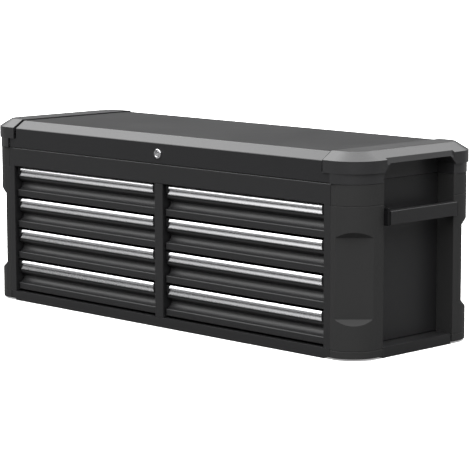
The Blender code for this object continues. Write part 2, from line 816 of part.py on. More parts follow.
def thick_line(points, thickness):
    """A closed outline of even thickness on the left-hand side of an open path."""
    inner = []
    count = len(points)
    for index in range(count):
        here = Vector(points[index])
        before = (here - Vector(points[index - 1])).normalized() if index > 0 else None
        after = (Vector(points[index + 1]) - here).normalized() if index < count - 1 else None
        first = before if before is not None else after
        second = after if after is not None else before
        normal_a = Vector((-first.y, first.x))
        normal_b = Vector((-second.y, second.x))
        middle = (normal_a + normal_b).normalized()
        inner.append(tuple(here + middle * thickness / middle.dot(normal_a)))
    return points + inner[::-1]


def pull_section(shares, grow=0.0):
    """A section of the pull strip or of its end cap, as (y, z) from the drawer's top front edge."""
    height = pull_height + grow
    front = front_recess - grow
    line = [(front + across * pull_depth, grow - down * height) for across, down in shares]
    back = front_recess + pull_depth
    return [(back, grow)] + line + [(back, grow - height)]


def build_drawer_meshes():
    """The box with its slide members and the pull strip with its caps, shared by all drawers."""
    skin = prism(thick_line(front_profile(), front_sheet), -front_half, front_half, "YZ")
    top = -tray_drop
    low = top - tray_height
    outer = box((-tray_half, tray_start, low), (tray_half, tray_start + tray_length, top))
    inner = box((-tray_half + tray_sheet, tray_start + tray_sheet, low + tray_sheet),
                (tray_half - tray_sheet, tray_start + tray_length - tray_sheet, top + overrun))
    member = slide_members()[2]
    whole = combine(outer, [("-", inner), ("+", skin), ("+", member), ("+", mirrored(member, 0))])
    strip = prism(pull_section(strip_shares), -strip_half, strip_half, "YZ")
    cap = prism(pull_section(cap_shares, seam), strip_half - seam, strip_half + cap_length, "YZ")
    return whole, combine(strip, [("+", cap), ("+", mirrored(cap, 0))])


# Drawers: each slides on its own, and the middle members of its slides follow at half its travel
def build_drawers():
    whole, strip = build_drawer_meshes()
    middle = slide_members()[1]
    for side, bank in ((-1, "left"), (1, "right")):
        for row in range(rows):
            name = "drawer_%s_%d" % (bank, row + 1)
            spot = drawer_spot(side, row)
            drawer = empty(name, spot, root)
            follower = empty(name + "_middle", spot, root)
            add(name + "_box", moved(whole, spot), coated_steel, drawer)
            add(name + "_pull", moved(strip, spot), aluminium, drawer)
            add(name + "_slide_right", moved(middle, spot), zinc_steel, follower)
            add(name + "_slide_left", moved(mirrored(middle, 0), spot), zinc_steel, follower)


def build_chest():
    build_base()
    build_side_walls()
    build_front_frame()
    build_divider()
    build_panels()
    build_columns()
    build_handles()
    lid = empty("lid_hinge_axis", (0, hinge_y, hinge_z), root)
    build_lid(lid)
    build_lid_ends(lid)
    build_hinge(lid)
    build_struts()
    build_lock(lid)
    build_drawers()


build_chest()
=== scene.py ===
"""Dress the frame of a wide top tool chest with its sheet metal, mouldings and fittings."""

import math

import bmesh
import bpy
from bpy.props import FloatProperty, PointerProperty, StringProperty
from mathutils import Matrix, Vector


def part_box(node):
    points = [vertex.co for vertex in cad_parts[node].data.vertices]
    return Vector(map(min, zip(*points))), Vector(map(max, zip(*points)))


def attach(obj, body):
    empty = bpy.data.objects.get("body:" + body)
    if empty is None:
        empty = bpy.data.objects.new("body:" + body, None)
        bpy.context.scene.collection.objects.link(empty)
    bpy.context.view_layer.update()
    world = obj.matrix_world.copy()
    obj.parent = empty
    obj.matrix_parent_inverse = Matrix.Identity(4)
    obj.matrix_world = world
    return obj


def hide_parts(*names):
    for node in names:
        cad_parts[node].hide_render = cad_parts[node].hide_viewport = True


bl_info = {
    "name": "Top tool chest",
    "version": (1, 0, 0),
    "blender": (4, 5, 0),
    "location": "View3D > Sidebar > Tool chest",
    "description": "Sheet metal, mouldings, drawer pulls and fittings of a wide top tool chest",
    "category": "Object",
}

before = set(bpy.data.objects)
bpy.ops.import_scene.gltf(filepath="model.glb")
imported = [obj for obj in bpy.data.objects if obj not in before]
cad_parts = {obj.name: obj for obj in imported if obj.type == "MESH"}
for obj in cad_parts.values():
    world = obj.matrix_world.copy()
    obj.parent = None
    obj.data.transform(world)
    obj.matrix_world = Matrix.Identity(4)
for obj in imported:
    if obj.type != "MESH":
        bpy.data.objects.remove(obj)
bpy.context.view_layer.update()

SIDES = (("left", -1), ("right", 1))
ROWS = 4
RIVETS = 8
ROUGHNESS_SPREAD = 0.03
DOME_SHARE = 0.55

# How far a cutter passes the surface that it cuts
OVER = 0.004

# Steps of a strut's tube: distance from the foot's stud, and how far inside the full radius
TUBE_STEPS = ((0.0102, 0.0008), (0.0112, 0.0), (0.0890, 0.0), (0.0915, 0.0009), (0.0955, 0.0009),
              (0.0968, 0.0016))

# Steps of the lock's ring: distance from its face, and how far inside the flange's radius
RING_STEPS = ((0.0, 0.0016), (0.0004, 0.0005), (0.0012, 0.0))

# Planes of the chest that everything is measured from
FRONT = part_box("front_frame")[0][1]
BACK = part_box("back_panel")[1][1]
MIDDLE_Y = (FRONT + BACK) / 2
CASE_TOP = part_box("front_frame")[1][2]
CASE_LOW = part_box("front_frame")[0][2]
LID_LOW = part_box("lid_panel")[0][2]
LID_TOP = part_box("lid_panel")[1][2]
PAN_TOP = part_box("base_pan")[1][2]
SEAM_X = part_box("column_front_right")[0][0]
COLUMN_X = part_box("column_front_right")[1][0]
COLUMN_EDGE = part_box("column_front_right")[1][1]
RECESS_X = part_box("side_wall_right")[1][0]
DIVIDER_X = 0.0117


def length(label, value, about):
    """A size that a user may change, in metres."""
    return FloatProperty(name=label, description=about, default=value, unit="LENGTH", precision=4)


def level(label, value, about):
    """A strength of light, as a plain number."""
    return FloatProperty(name=label, description=about, default=value, min=0.0)


def colour(label, value, about):
    """An sRGB colour, written as six hexadecimal digits."""
    return StringProperty(name=label, description=about, default=value, maxlen=6)


class SheetSizes(bpy.types.PropertyGroup):
    """Sizes of the folded steel."""
    sheet: length("Sheet", 0.0012, "Thickness of the case's steel")
    tray_sheet: length("Tray sheet", 0.0010, "Thickness of the drawers' steel")
    fold: length("Fold radius", 0.0022, "Outer radius of a fold")
    edge: length("Edge", 0.0003, "Rounding of a cut edge under its coat")
    gap: length("Gap", 0.0003, "Clearance between pieces that touch")
    flange: length("Flange", 0.026, "Depth of the header's folds")
    inner_x: length("Opening", 0.4432, "Half width of the two drawer banks")
    opening_top: length("Opening top", 0.2855, "Height of the upper edge of the drawer openings")
    rail_x: length("Side rail", 0.5205, "Half width of the base pan between the columns")


class ColumnSizes(bpy.types.PropertyGroup):
    """Sizes of the four corner mouldings."""
    radius: length("Corner radius", 0.062, "Radius of the round outer corner")
    wall: length("Wall", 0.003, "Wall thickness of the moulding")
    flap: length("Flap", 0.005, "Depth of the flap behind the front steel")
    facet_depth: length("Facet depth", 0.011, "Depth of the flat facet at its middle")
    facet_low: length("Facet low", 0.0760, "Height of the facet's lower edge")
    facet_high: length("Facet high", 0.2262, "Height of the facet's upper edge")
    facet_half: length("Facet half width", 0.045, "Half width of the cut that makes the facet")
    ring_line: length("Ring line", 0.0175, "Height of the lower line")
    band_line: length("Band line", 0.2845, "Height of the upper line")
    groove: length("Groove", 0.0008, "Depth of the lines")
    notch: length("Notch", 0.0165, "Depth of the side walls' notch for the column")
    edge: length("Edge", 0.0007, "Rounding of the moulded edges")


class LidSizes(bpy.types.PropertyGroup):
    """Sizes of the lid and its two moulded ends."""
    skirt: length("Skirt", 0.0405, "Height of the lid's front below its chamfer")
    chamfer: length("Chamfer", 0.0233, "Width of the chamfer")
    hem: length("Hem", 0.010, "Depth of the fold under the skirt")
    cap_seam: length("End seam", 0.4417, "Half distance between the two moulded ends")
    joint: length("End joint", 0.0045, "Width of the open joint between the steel and the ends")
    cap_proud: length("End proud", 0.003, "How far the ends stand in front of the steel")
    cap_rise: length("End rise", 0.002, "How far the ends stand above the steel")
    cap_low: length("End low", 0.3435, "Height where the proud part of the ends starts")
    cap_wall: length("End wall", 0.0025, "Wall thickness of the ends")
    lip_low: length("Lip low", 0.3595, "Height of the lip over the side recess")
    lip_high: length("Lip high", 0.3705, "Height where the lip meets the chamfer")
    lip_inset: length("Lip inset", 0.0054, "How far the lip leans in at its top")
    lip_overhang: length("Lip overhang", 0.0005, "How far the lip's foot stays behind the ends")
    lip_end: length("Lip end", 0.004, "Distance of the lip from the recess's ends")
    corner: length("Recess corner", 0.014, "Slanted corners at the recess's top")
    edge: length("Edge", 0.0009, "Rounding of the moulded edges")
    fold: length("Fold", 0.0018, "Radius of the lid's folds")


class DrawerSizes(bpy.types.PropertyGroup):
    """Sizes of the drawer fronts, trays, pulls and slides."""
    pitch: length("Pitch", 0.066, "Distance from one drawer to the next")
    gap: length("Gap", 0.005, "Gap between two fronts")
    top_gap: length("Top gap", 0.0025, "Gap above a front")
    side_gap: length("Side gap", 0.003, "Gap beside a front")
    recess: length("Recess", 0.006, "How far the fronts lie behind the frame")
    fold: length("Fold", 0.012, "Depth of the front's rear folds")
    face_inset: length("Face inset", 0.0032, "How far the upper face lies behind the lip")
    face_height: length("Face height", 0.006, "Height of the upper face under the pull")
    scoop_height: length("Scoop height", 0.015, "Height of the finger scoop")
    scoop_depth: length("Scoop depth", 0.0145, "Depth of the finger scoop")
    lip: length("Lip", 0.014, "Height of the flat lip")
    pull_height: length("Pull height", 0.018, "Height of the aluminium strip")
    pull_depth: length("Pull depth", 0.008, "Depth of the aluminium strip")
    pull_end: length("Pull end", 0.010, "Distance of the strip from the bank's side")
    pull_edge: length("Pull edge", 0.0004, "Rounding of the strip's edges")
    plate_inset: length("Plate inset", 0.0002, "How far a front's end plates lie inside its skin")
    front_fold: length("Front fold", 0.00176, "Outer radius of the front's folds")
    tray_corner: length("Tray corner", 0.003, "Radius of the tray's upright corners")
    tray_fold: length("Tray fold", 0.0015, "Radius of the tray's lower folds")
    cap: length("Cap", 0.0055, "Length of the strip's end caps")
    tray_height: length("Tray height", 0.050, "Height of the tray's walls")
    tray_start: length("Tray start", 0.025, "Where the tray starts behind the frame")
    tray_length: length("Tray length", 0.300, "Length of the tray")
    tray_drop: length("Tray drop", 0.005, "How far the tray's rim lies below the front")
    slide_space: length("Slide space", 0.0135, "Room for a slide beside the tray")
    slide_height: length("Slide height", 0.035, "Height of a slide")
    slide_drop: length("Slide drop", 0.030, "Height of the slides below the front's top")
    slide_start: length("Slide start", 0.024, "Where the slides start behind the frame")
    slide_length: length("Slide length", 0.296, "Length of the slides")
    slide_gap: length("Slide gap", 0.0008, "Gap between two slide members")


class FittingSizes(bpy.types.PropertyGroup):
    """Sizes of the handles, hinge, struts and lock."""
    handle_edge: length("Handle edge", 0.0016, "Rounding of the side handle's tube")
    handle_wall: length("Handle wall", 0.002, "Wall thickness of the side handle's tube")
    socket: length("Socket", 0.0068, "Length of the handle's end sockets that shows")
    socket_lip: length("Socket lip", 0.0006, "How far the sockets stand out below the tube")
    rivet: length("Rivet", 0.0026, "Radius of the rivet heads")
    stud: length("Stud", 0.003, "Radius of the struts' studs")
    strut: length("Strut", 0.007, "Radius of the struts' cylinders")
    rod: length("Rod", 0.003, "Radius of the struts' rods")
    eye: length("Eye", 0.0065, "Radius of the struts' eyes")
    flange: length("Lock flange", 0.0095, "Radius of the lock's flange")
    plug: length("Lock plug", 0.0056, "Radius of the lock's plug")
    barrel: length("Lock barrel", 0.0080, "Radius of the lock's barrel behind its flange")
    nut: length("Lock nut", 0.0105, "Radius of the nut on the barrel, over its corners")
    nut_height: length("Nut height", 0.0035, "Height of the nut")
    nut_bore: length("Nut bore", 0.0079, "Radius of the nut's bore")
    nut_gap: length("Nut gap", 0.0015, "How far the nut lies behind the lid's face")
    bore_lip: length("Bore lip", 0.0006, "Depth of the flare round the plug")
    bore_flare: length("Bore flare", 0.0008, "Width of the flare round the plug")
    plug_edge: length("Plug edge", 0.0004, "Rounding of the plug's ends")
    dish_edge: length("Dish edge", 0.0001, "Rounding of the dish")
    slot_half: length("Key slot", 0.0006, "Half width of the key slot")
    slot_height: length("Key slot height", 0.0035, "Half height of the key slot")
    slot_depth: length("Key slot depth", 0.010, "Depth of the key slot")
    dish: length("Dish", 0.0015, "Radius and depth of the dish in the plug's face")
    cam_half: length("Cam", 0.005, "Half width of the lock's cam")
    cam_hook: length("Cam hook", 0.006, "How far the cam's hook stands out")
    cam_tip: length("Cam tip", 0.0035, "Width of the cam's hook")
    cam_sheet: length("Cam sheet", 0.002, "Thickness of the cam")
    cam_room: length("Cam room", 0.0015, "Room round the cam in its slot")
    lock_hole: length("Lock hole", 0.0083, "Radius of the hole for the barrel")
    socket_rise: length("Socket rise", 0.006, "How far the sockets stand out above the tube")
    soft: length("Soft edge", 0.0005, "Rounding of small mouldings and studs")
    rivet_case: length("Case rivets", 0.010, "Height of the rivets above the case leaf's edge")
    rivet_lid: length("Lid rivets", 0.008, "Depth of the rivets below the lid leaf's edge")
    foot_reach: length("Foot stud", 0.0048, "How far the foot's stud passes the strut's middle")
    head_reach: length("Head stud", 0.0043, "How far the head's stud stops from the strut's middle")
    eye_half: length("Eye half width", 0.004, "Half width of the struts' eyes")
    eye_soft: length("Eye edge", 0.0008, "Rounding of the struts' eyes")
    tube_start: length("Tube start", 0.0098, "Where the strut's tube starts, from the foot's stud")
    tube_end: length("Tube end", 0.0980, "Where the strut's tube ends, from the foot's stud")
    tube_bore: length("Tube bore", 0.0600, "Where the rod ends inside the tube")
    neck_end: length("Neck end", 0.0105, "Where the lower eye's neck ends inside the tube")
    rod_room: length("Rod room", 0.0004, "Room round the rod in the tube's end")


class FinishColours(bpy.types.PropertyGroup):
    """Colours of the finishes."""
    steel: colour("Steel", "151516", "Powder coat of the case and the drawers")
    lid: colour("Lid", "1a1a1b", "Powder coat of the lid")
    column: colour("Column", "262626", "Moulded plastic of the columns")
    cap: colour("Lid end", "1e1e1f", "Moulded plastic of the lid's ends")
    small: colour("Small mouldings", "0e0e0f", "End caps and sockets")
    aluminium: colour("Aluminium", "e3e3e5", "Pull strips")
    zinc: colour("Zinc", "b9bbbd", "Slides, hinge and rods")
    chrome: colour("Chrome", "dcdcde", "Lock")
    enamel: colour("Enamel", "101011", "Strut cylinders")


class StageSettings(bpy.types.PropertyGroup):
    """Camera and lamps."""
    camera_x: length("Camera X", 3.1449, "Place of the camera")
    camera_y: length("Camera Y", -3.0920, "Place of the camera")
    camera_z: length("Camera Z", 0.8027, "Place of the camera")
    azimuth: FloatProperty(name="Azimuth", description="Turn of the camera from the front", subtype="ANGLE",
                           default=math.radians(45.157))
    elevation: FloatProperty(name="Elevation", description="Height angle of the camera", subtype="ANGLE",
                             default=math.radians(8.2197))
    roll: FloatProperty(name="Roll", description="Turn of the picture", subtype="ANGLE",
                        default=math.radians(-0.0865))
    sky_low: level("Sky at the horizon", 0.03, "Light of the sky near the horizon")
    sky_high: level("Sky overhead", 4.0, "Light of the sky overhead")
    lens: FloatProperty(name="Lens", description="Focal length", default=168.65, subtype="DISTANCE_CAMERA")


def sizes():
    """The property groups of the scene, by their short names."""
    return bpy.context.scene.chest


# Shapes

def place(u, v, along, axis):
    """The point with outline coordinates u and v, at a distance along the axis."""
    return {"X": (along, u, v), "Y": (u, along, v), "Z": (u, v, along)}[axis]


def arc(centre, radius, start, end, steps=16):
    """Points of a round stretch of an outline, both ends included; angles in degrees."""
    spots = []
    for step in range(steps + 1):
        angle = math.radians(start + (end - start) * step / steps)
        spots.append((centre[0] + radius * math.cos(angle), centre[1] + radius * math.sin(angle)))
    return spots


def to_mesh(shape, name="piece"):
    """Close a bmesh into a mesh with its faces outwards."""
    bmesh.ops.remove_doubles(shape, verts=shape.verts, dist=1e-6)
    bmesh.ops.recalc_face_normals(shape, faces=shape.faces)
    mesh = bpy.data.meshes.new(name)
    shape.to_mesh(mesh)
    shape.free()
    return mesh


def new_verts(result):
    """The vertices that an extrusion made."""
    return [item for item in result["geom"] if isinstance(item, bmesh.types.BMVert)]


def bevel(shape, edges, width, segments=3):
    """Round some edges of a bmesh."""
    bmesh.ops.bevel(shape, geom=edges, offset=width, segments=segments, profile=0.5, affect="EDGES",
                    material=-1, clamp_overlap=True)


def along_axis(edge, axis):
    """Whether an edge runs along an axis."""
    run = edge.verts[1].co - edge.verts[0].co
    other = [value for index, value in enumerate(run) if index != "XYZ".index(axis)]
    return max(abs(value) for value in other) < 1e-6


def folds(shape, axis, least=20):
    """The edges along an axis where the surface turns by more than some degrees."""
    limit = math.radians(least)
    return [edge for edge in shape.edges
            if len(edge.link_faces) == 2 and along_axis(edge, axis) and edge.calc_face_angle() > limit]


def extruded(points, low, high, axis, radius=0.0, least=20):
    """A solid of one outline, with its long edges rounded where a radius is given."""
    shape = bmesh.new()
    ring = [shape.verts.new(place(u, v, low, axis)) for u, v in points]
    face = shape.faces.new(ring)
    grown = bmesh.ops.extrude_face_region(shape, geom=[face])
    bmesh.ops.translate(shape, verts=new_verts(grown), vec=place(0, 0, high - low, axis))
    if radius:
        bevel(shape, folds(shape, axis, least), radius)
    return to_mesh(shape)


def bent(path, low, high, axis, thickness, radius, least=20):
    """Folded sheet: an open path drawn out along an axis, with round folds and a thickness.

    The sheet lies on the left-hand side of the path; a negative thickness puts it on the right.
    """
    shape = bmesh.new()
    line = [shape.verts.new(place(u, v, low, axis)) for u, v in path]
    edges = [shape.edges.new(pair) for pair in zip(line, line[1:])]
    grown = bmesh.ops.extrude_edge_only(shape, edges=edges)
    bmesh.ops.translate(shape, verts=new_verts(grown), vec=place(0, 0, high - low, axis))
    bevel(shape, folds(shape, axis, least), radius)
    first = Vector(path[1]) - Vector(path[0])
    left = Vector(place(-first.y, first.x, 0, axis)).normalized()
    for face in shape.faces:
        face.normal_update()
    corner = Vector(place(*path[0], low, axis))
    start = min(shape.faces, key=lambda face: (face.calc_center_median() - corner).length)
    if start.normal.dot(left) < 0:
        bmesh.ops.reverse_faces(shape, faces=shape.faces)
    bmesh.ops.solidify(shape, geom=shape.faces[:], thickness=-thickness)
    return to_mesh(shape)


def block(low, high, radius=0.0, segments=3):
    """A block between two corners, with all its edges rounded where a radius is given."""
    shape = bmesh.new()
    size = Vector(high) - Vector(low)
    middle = (Vector(high) + Vector(low)) / 2
    bmesh.ops.create_cube(shape, size=1, matrix=Matrix.Translation(middle) @ Matrix.Diagonal(size).to_4x4())
    if radius:
        bevel(shape, shape.edges[:], radius, segments)
    return to_mesh(shape)


def turned(profile, start, end, steps=32):
    """A turned body: points of distance along the axis and radius, spun round it."""
    start = Vector(start)
    along = (Vector(end) - start).normalized()
    turn = Vector((0, 0, 1)).rotation_difference(along).to_matrix().to_4x4()
    shape = bmesh.new()
    line = [shape.verts.new((radius, 0, far)) for far, radius in profile]
    edges = [shape.edges.new(pair) for pair in zip(line, line[1:])]
    bmesh.ops.spin(shape, geom=line + edges, axis=(0, 0, 1), cent=(0, 0, 0), angle=math.tau, steps=steps,
                   use_merge=True)
    bmesh.ops.transform(shape, verts=shape.verts, matrix=Matrix.Translation(start) @ turn)
    return to_mesh(shape)


def bar(radius, start, end, soft, steps=32):
    """A round bar with softened ends."""
    reach = (Vector(end) - Vector(start)).length
    return turned([(0, 0), (0, radius - soft), (soft, radius), (reach - soft, radius),
                   (reach, radius - soft), (reach, 0)], start, end, steps)


def joined(meshes):
    """Several meshes in one, side by side."""
    shape = bmesh.new()
    for mesh in meshes:
        shape.from_mesh(mesh)
    mesh = bpy.data.meshes.new("piece")
    shape.to_mesh(mesh)
    shape.free()
    return mesh


def carved(body, steps):
    """A mesh after Boolean steps; a step is plus or minus and a mesh."""
    holder = bpy.data.objects.new("blank", body)
    bpy.context.scene.collection.objects.link(holder)
    tools = []
    for letter, mesh in steps:
        tool = bpy.data.objects.new("cutter", mesh)
        bpy.context.scene.collection.objects.link(tool)
        tools.append(tool)
        change = holder.modifiers.new("cut", "BOOLEAN")
        change.operation = "UNION" if letter == "+" else "DIFFERENCE"
        change.object = tool
    mesh = finished_mesh(holder)
    for tool in tools + [holder]:
        bpy.data.objects.remove(tool)
    shape = bmesh.new()
    shape.from_mesh(mesh)
    bmesh.ops.remove_doubles(shape, verts=shape.verts, dist=1e-5)
    bmesh.ops.dissolve_degenerate(shape, edges=shape.edges, dist=1e-6)
    shape.to_mesh(mesh)
    shape.free()
    return mesh


def finished_mesh(holder):
    """The mesh of an object with its modifiers applied."""
    bpy.context.view_layer.update()
    graph = bpy.context.evaluated_depsgraph_get()
    return bpy.data.meshes.new_from_object(holder.evaluated_get(graph))


def mirrored(mesh, axis, about=0.0):
    """A mirror image of a mesh across a plane, with its faces outwards."""
    copy = mesh.copy()
    scale = [1, 1, 1]
    scale[axis] = -1
    shift = [0, 0, 0]
    shift[axis] = 2 * about
    copy.transform(Matrix.Translation(shift) @ Matrix.Diagonal(scale).to_4x4())
    copy.flip_normals()
    return copy


def sided(mesh, sign):
    """A mesh made for the right side, or its mirror image for the left."""
    return mesh if sign > 0 else mirrored(mesh, 0)


def moved(mesh, offset):
    """A shifted copy of a mesh."""
    copy = mesh.copy()
    copy.transform(Matrix.Translation(offset))
    return copy


def add_piece(name, mesh, material, body, replaces=(), edge=0.0):
    """Put a finished mesh in the scene, with softened edges, its finish and the body that carries it."""
    mesh = mesh.copy()
    mesh.name = name
    piece = bpy.data.objects.new(name, mesh)
    bpy.context.scene.collection.objects.link(piece)
    mesh.shade_smooth()
    if edge:
        soft = piece.modifiers.new("Soft edges", "BEVEL")
        soft.width = edge
        soft.segments = 2
        soft.limit_method = "ANGLE"
        soft.angle_limit = math.radians(30)
    else:
        mesh.set_sharp_from_angle(angle=math.radians(50))
    even = piece.modifiers.new("Flat faces stay flat", "WEIGHTED_NORMAL")
    even.keep_sharp = True
    even.weight = 100
    mesh.materials.clear()
    mesh.materials.append(material)
    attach(piece, body)
    if replaces:
        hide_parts(*replaces)
    return piece


# Finishes

def linear(code):
    """A linear colour from six sRGB hexadecimal digits."""
    levels = [int(code[start:start + 2], 16) / 255 for start in (0, 2, 4)]
    curved = [((level + 0.055) / 1.055) ** 2.4 if level > 0.04045 else level / 12.92 for level in levels]
    return (*curved, 1.0)


def add_node(tree, kind, settings=None, links=None):
    """Add a node with its settings or input values, and the links into its inputs."""
    node = tree.nodes.new(kind)
    for key, value in (settings or {}).items():
        if isinstance(key, int) or key in node.inputs:
            node.inputs[key].default_value = value
        else:
            setattr(node, key, value)
    for key, source in (links or {}).items():
        tree.links.new(source, node.inputs[key])
    return node


def new_finish(name, roughness, metallic=0.0, specular=0.5):
    """An empty finish and its shader."""
    material = bpy.data.materials.new(name)
    material.use_nodes = True
    shader = material.node_tree.nodes["Principled BSDF"]
    shader.inputs["Roughness"].default_value = roughness
    shader.inputs["Metallic"].default_value = metallic
    if not metallic:
        shader.inputs["Specular IOR Level"].default_value = specular
    return material, material.node_tree, shader


def vary(tree, shader, source, dark, light, smooth, rough):
    """Let a pattern vary the colour between two values and the roughness between two others."""
    tone = add_node(tree, "ShaderNodeMix", {"data_type": "RGBA", 6: dark, 7: light}, {0: source})
    tree.links.new(tone.outputs[2], shader.inputs["Base Color"])
    gloss = add_node(tree, "ShaderNodeMapRange", {"To Min": smooth, "To Max": rough}, {"Value": source})
    tree.links.new(gloss.outputs[0], shader.inputs["Roughness"])


def shaded(code, factor):
    """A colour made a little darker or lighter."""
    return tuple(value * factor for value in linear(code)[:3]) + (1.0,)


def powder_coat(name, code, roughness, specular, grain):
    """Powder coat, baked on: an even colour with a fine orange peel that breaks up the gloss."""
    material, tree, shader = new_finish(name, roughness, specular=specular)
    where = {"Vector": add_node(tree, "ShaderNodeTexCoord").outputs["Object"]}
    # Real peel is about 1 mm wide; it is drawn at the grain given, which just shows
    peel = add_node(tree, "ShaderNodeTexNoise", {"Scale": 1 / grain, "Detail": 2.0, "Roughness": 0.5}, where)
    cloud = add_node(tree, "ShaderNodeTexNoise", {"Scale": 9.0, "Detail": 2.0}, where)
    vary(tree, shader, cloud.outputs[0], shaded(code, 0.94), shaded(code, 1.06),
         roughness - ROUGHNESS_SPREAD, roughness + ROUGHNESS_SPREAD)
    bump = add_node(tree, "ShaderNodeBump", {"Strength": 0.12, "Distance": 0.0004}, {"Height": peel.outputs[0]})
    tree.links.new(bump.outputs[0], shader.inputs["Normal"])
    return material


def moulded(name, code, roughness, specular, grain):
    """Injection moulded plastic: dull, with the spark-eroded grain of its mould."""
    material, tree, shader = new_finish(name, roughness, specular=specular)
    where = {"Vector": add_node(tree, "ShaderNodeTexCoord").outputs["Object"]}
    pits = add_node(tree, "ShaderNodeTexVoronoi", {"Scale": 1 / grain}, where)
    cloud = add_node(tree, "ShaderNodeTexNoise", {"Scale": 12.0, "Detail": 2.0}, where)
    vary(tree, shader, cloud.outputs[0], shaded(code, 0.95), shaded(code, 1.05),
         roughness - ROUGHNESS_SPREAD, roughness + ROUGHNESS_SPREAD)
    bump = add_node(tree, "ShaderNodeBump", {"Strength": 0.10, "Distance": 0.0003}, {"Height": pits.outputs[0]})
    tree.links.new(bump.outputs[0], shader.inputs["Normal"])
    return material


def drawn_aluminium(name, code):
    """Extruded aluminium, brushed along its length: bright, with fine long lines."""
    material, tree, shader = new_finish(name, 0.30, 1.0)
    where = {"Vector": add_node(tree, "ShaderNodeTexCoord").outputs["Object"]}
    # Lines 0.4 mm apart and about 200 mm long
    run = add_node(tree, "ShaderNodeMapping", {"Scale": (5.0, 2500.0, 2500.0)}, where)
    lines = add_node(tree, "ShaderNodeTexNoise", {"Scale": 1.0, "Detail": 3.0}, {"Vector": run.outputs[0]})
    vary(tree, shader, lines.outputs[0], shaded(code, 0.99), shaded(code, 1.01), 0.215, 0.225)
    return material


def zinc_plate(name, code):
    """Bright zinc plate: a cold metal with a faint spangle."""
    material, tree, shader = new_finish(name, 0.36, 1.0)
    where = {"Vector": add_node(tree, "ShaderNodeTexCoord").outputs["Object"]}
    spangle = add_node(tree, "ShaderNodeTexVoronoi", {"Scale": 160.0}, where)
    vary(tree, shader, spangle.outputs[0], shaded(code, 0.85), shaded(code, 1.05), 0.30, 0.44)
    return material


def chrome_plate(name, code):
    """Polished chrome plate: a mirror with a very fine haze."""
    material, tree, shader = new_finish(name, 0.12, 1.0)
    where = {"Vector": add_node(tree, "ShaderNodeTexCoord").outputs["Object"]}
    haze = add_node(tree, "ShaderNodeTexNoise", {"Scale": 700.0, "Detail": 2.0}, where)
    vary(tree, shader, haze.outputs[0], shaded(code, 0.95), shaded(code, 1.0), 0.08, 0.18)
    return material


def finish(kind):
    """A finish of the chest, made the first time that it is asked for."""
    hue = sizes().colours
    # Maker, name, colour, and then the roughness, the specular level and the grain in metres
    recipes = {
        "steel": (powder_coat, "powder_coated_steel", hue.steel, 0.42, 0.45, 0.0016),
        "lid": (powder_coat, "powder_coated_lid", hue.lid, 0.29, 0.34, 0.0016),
        "column": (moulded, "moulded_polypropylene", hue.column, 0.50, 0.12, 0.0012),
        "cap": (moulded, "moulded_abs", hue.cap, 0.34, 0.45, 0.0012),
        "small": (moulded, "moulded_nylon", hue.small, 0.45, 0.12, 0.0012),
        "aluminium": (drawn_aluminium, "brushed_aluminium", hue.aluminium),
        "zinc": (zinc_plate, "zinc_plated_steel", hue.zinc),
        "chrome": (chrome_plate, "chrome_plated_zinc", hue.chrome),
        "enamel": (powder_coat, "black_enamel", hue.enamel, 0.25, 0.50, 0.004),
    }
    name = "chest_" + kind
    known = bpy.context.scene.get(name)
    if known is None:
        maker, *values = recipes[kind]
        material = maker(*values)
        bpy.context.scene[name] = material.name
        return material
    return bpy.data.materials[known]


def dress(node, kind):
    """Give a node of the frame one of the finishes."""
    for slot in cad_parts[node].material_slots:
        slot.material = finish(kind)


# Corner columns

def column_mesh():
    """The front right column: a hollow moulding with a round outer corner and a flat facet cut into it."""
    size = sizes().column
    low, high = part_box("column_front_right")
    gap = 2 * sizes().sheet.gap
    near_y = low[1]
    inner_x = RECESS_X + gap
    centre = (COLUMN_X - size.radius, near_y + size.radius)
    rounded = arc(centre, size.radius, -78, 0, 24)
    facet_back = (COLUMN_X - size.radius - centre[1]
                  + math.sqrt(2) * (size.radius - size.facet_depth - size.wall))
    flap_y = FRONT + size.flap
    plan = [(SEAM_X, FRONT)] + rounded + [
        (COLUMN_X, COLUMN_EDGE), (inner_x, COLUMN_EDGE), (inner_x, inner_x - facet_back),
        (flap_y + facet_back, flap_y), (SEAM_X, flap_y),
    ]
    body = extruded(plan, low[2], high[2], "Z")
    near = inner_x + size.wall
    far = COLUMN_X - size.wall
    rear = COLUMN_EDGE - size.wall
    hollow = [(near, near - facet_back), (far, far - facet_back), (far, rear), (near, rear)]
    inside = extruded(hollow, low[2] - size.wall, high[2] - size.wall, "Z")
    face = size.radius - size.facet_depth
    out = size.radius + size.wall
    ramp = out - face
    ramps = [(face, size.facet_low), (out, size.facet_low - ramp), (out, size.facet_high + ramp),
             (face, size.facet_high)]
    wedge = extruded(ramps, -size.facet_half, size.facet_half, "Y")
    wedge.transform(Matrix.Translation((*centre, 0)) @ Matrix.Rotation(math.radians(-45), 4, "Z"))
    path = [(SEAM_X - size.wall, FRONT), (SEAM_X, FRONT)] + rounded + [(COLUMN_X, COLUMN_EDGE + size.wall)]
    lines = [("-", line_cutter(path, height, size.groove)) for height in (size.ring_line, size.band_line)]
    seam = block((SEAM_X - size.groove, near_y, size.band_line),
                 (SEAM_X + size.groove, FRONT + size.wall, high[2] + gap))
    lines.append(("-", seam))
    return carved(body, [("-", inside), ("-", wedge)] + lines)


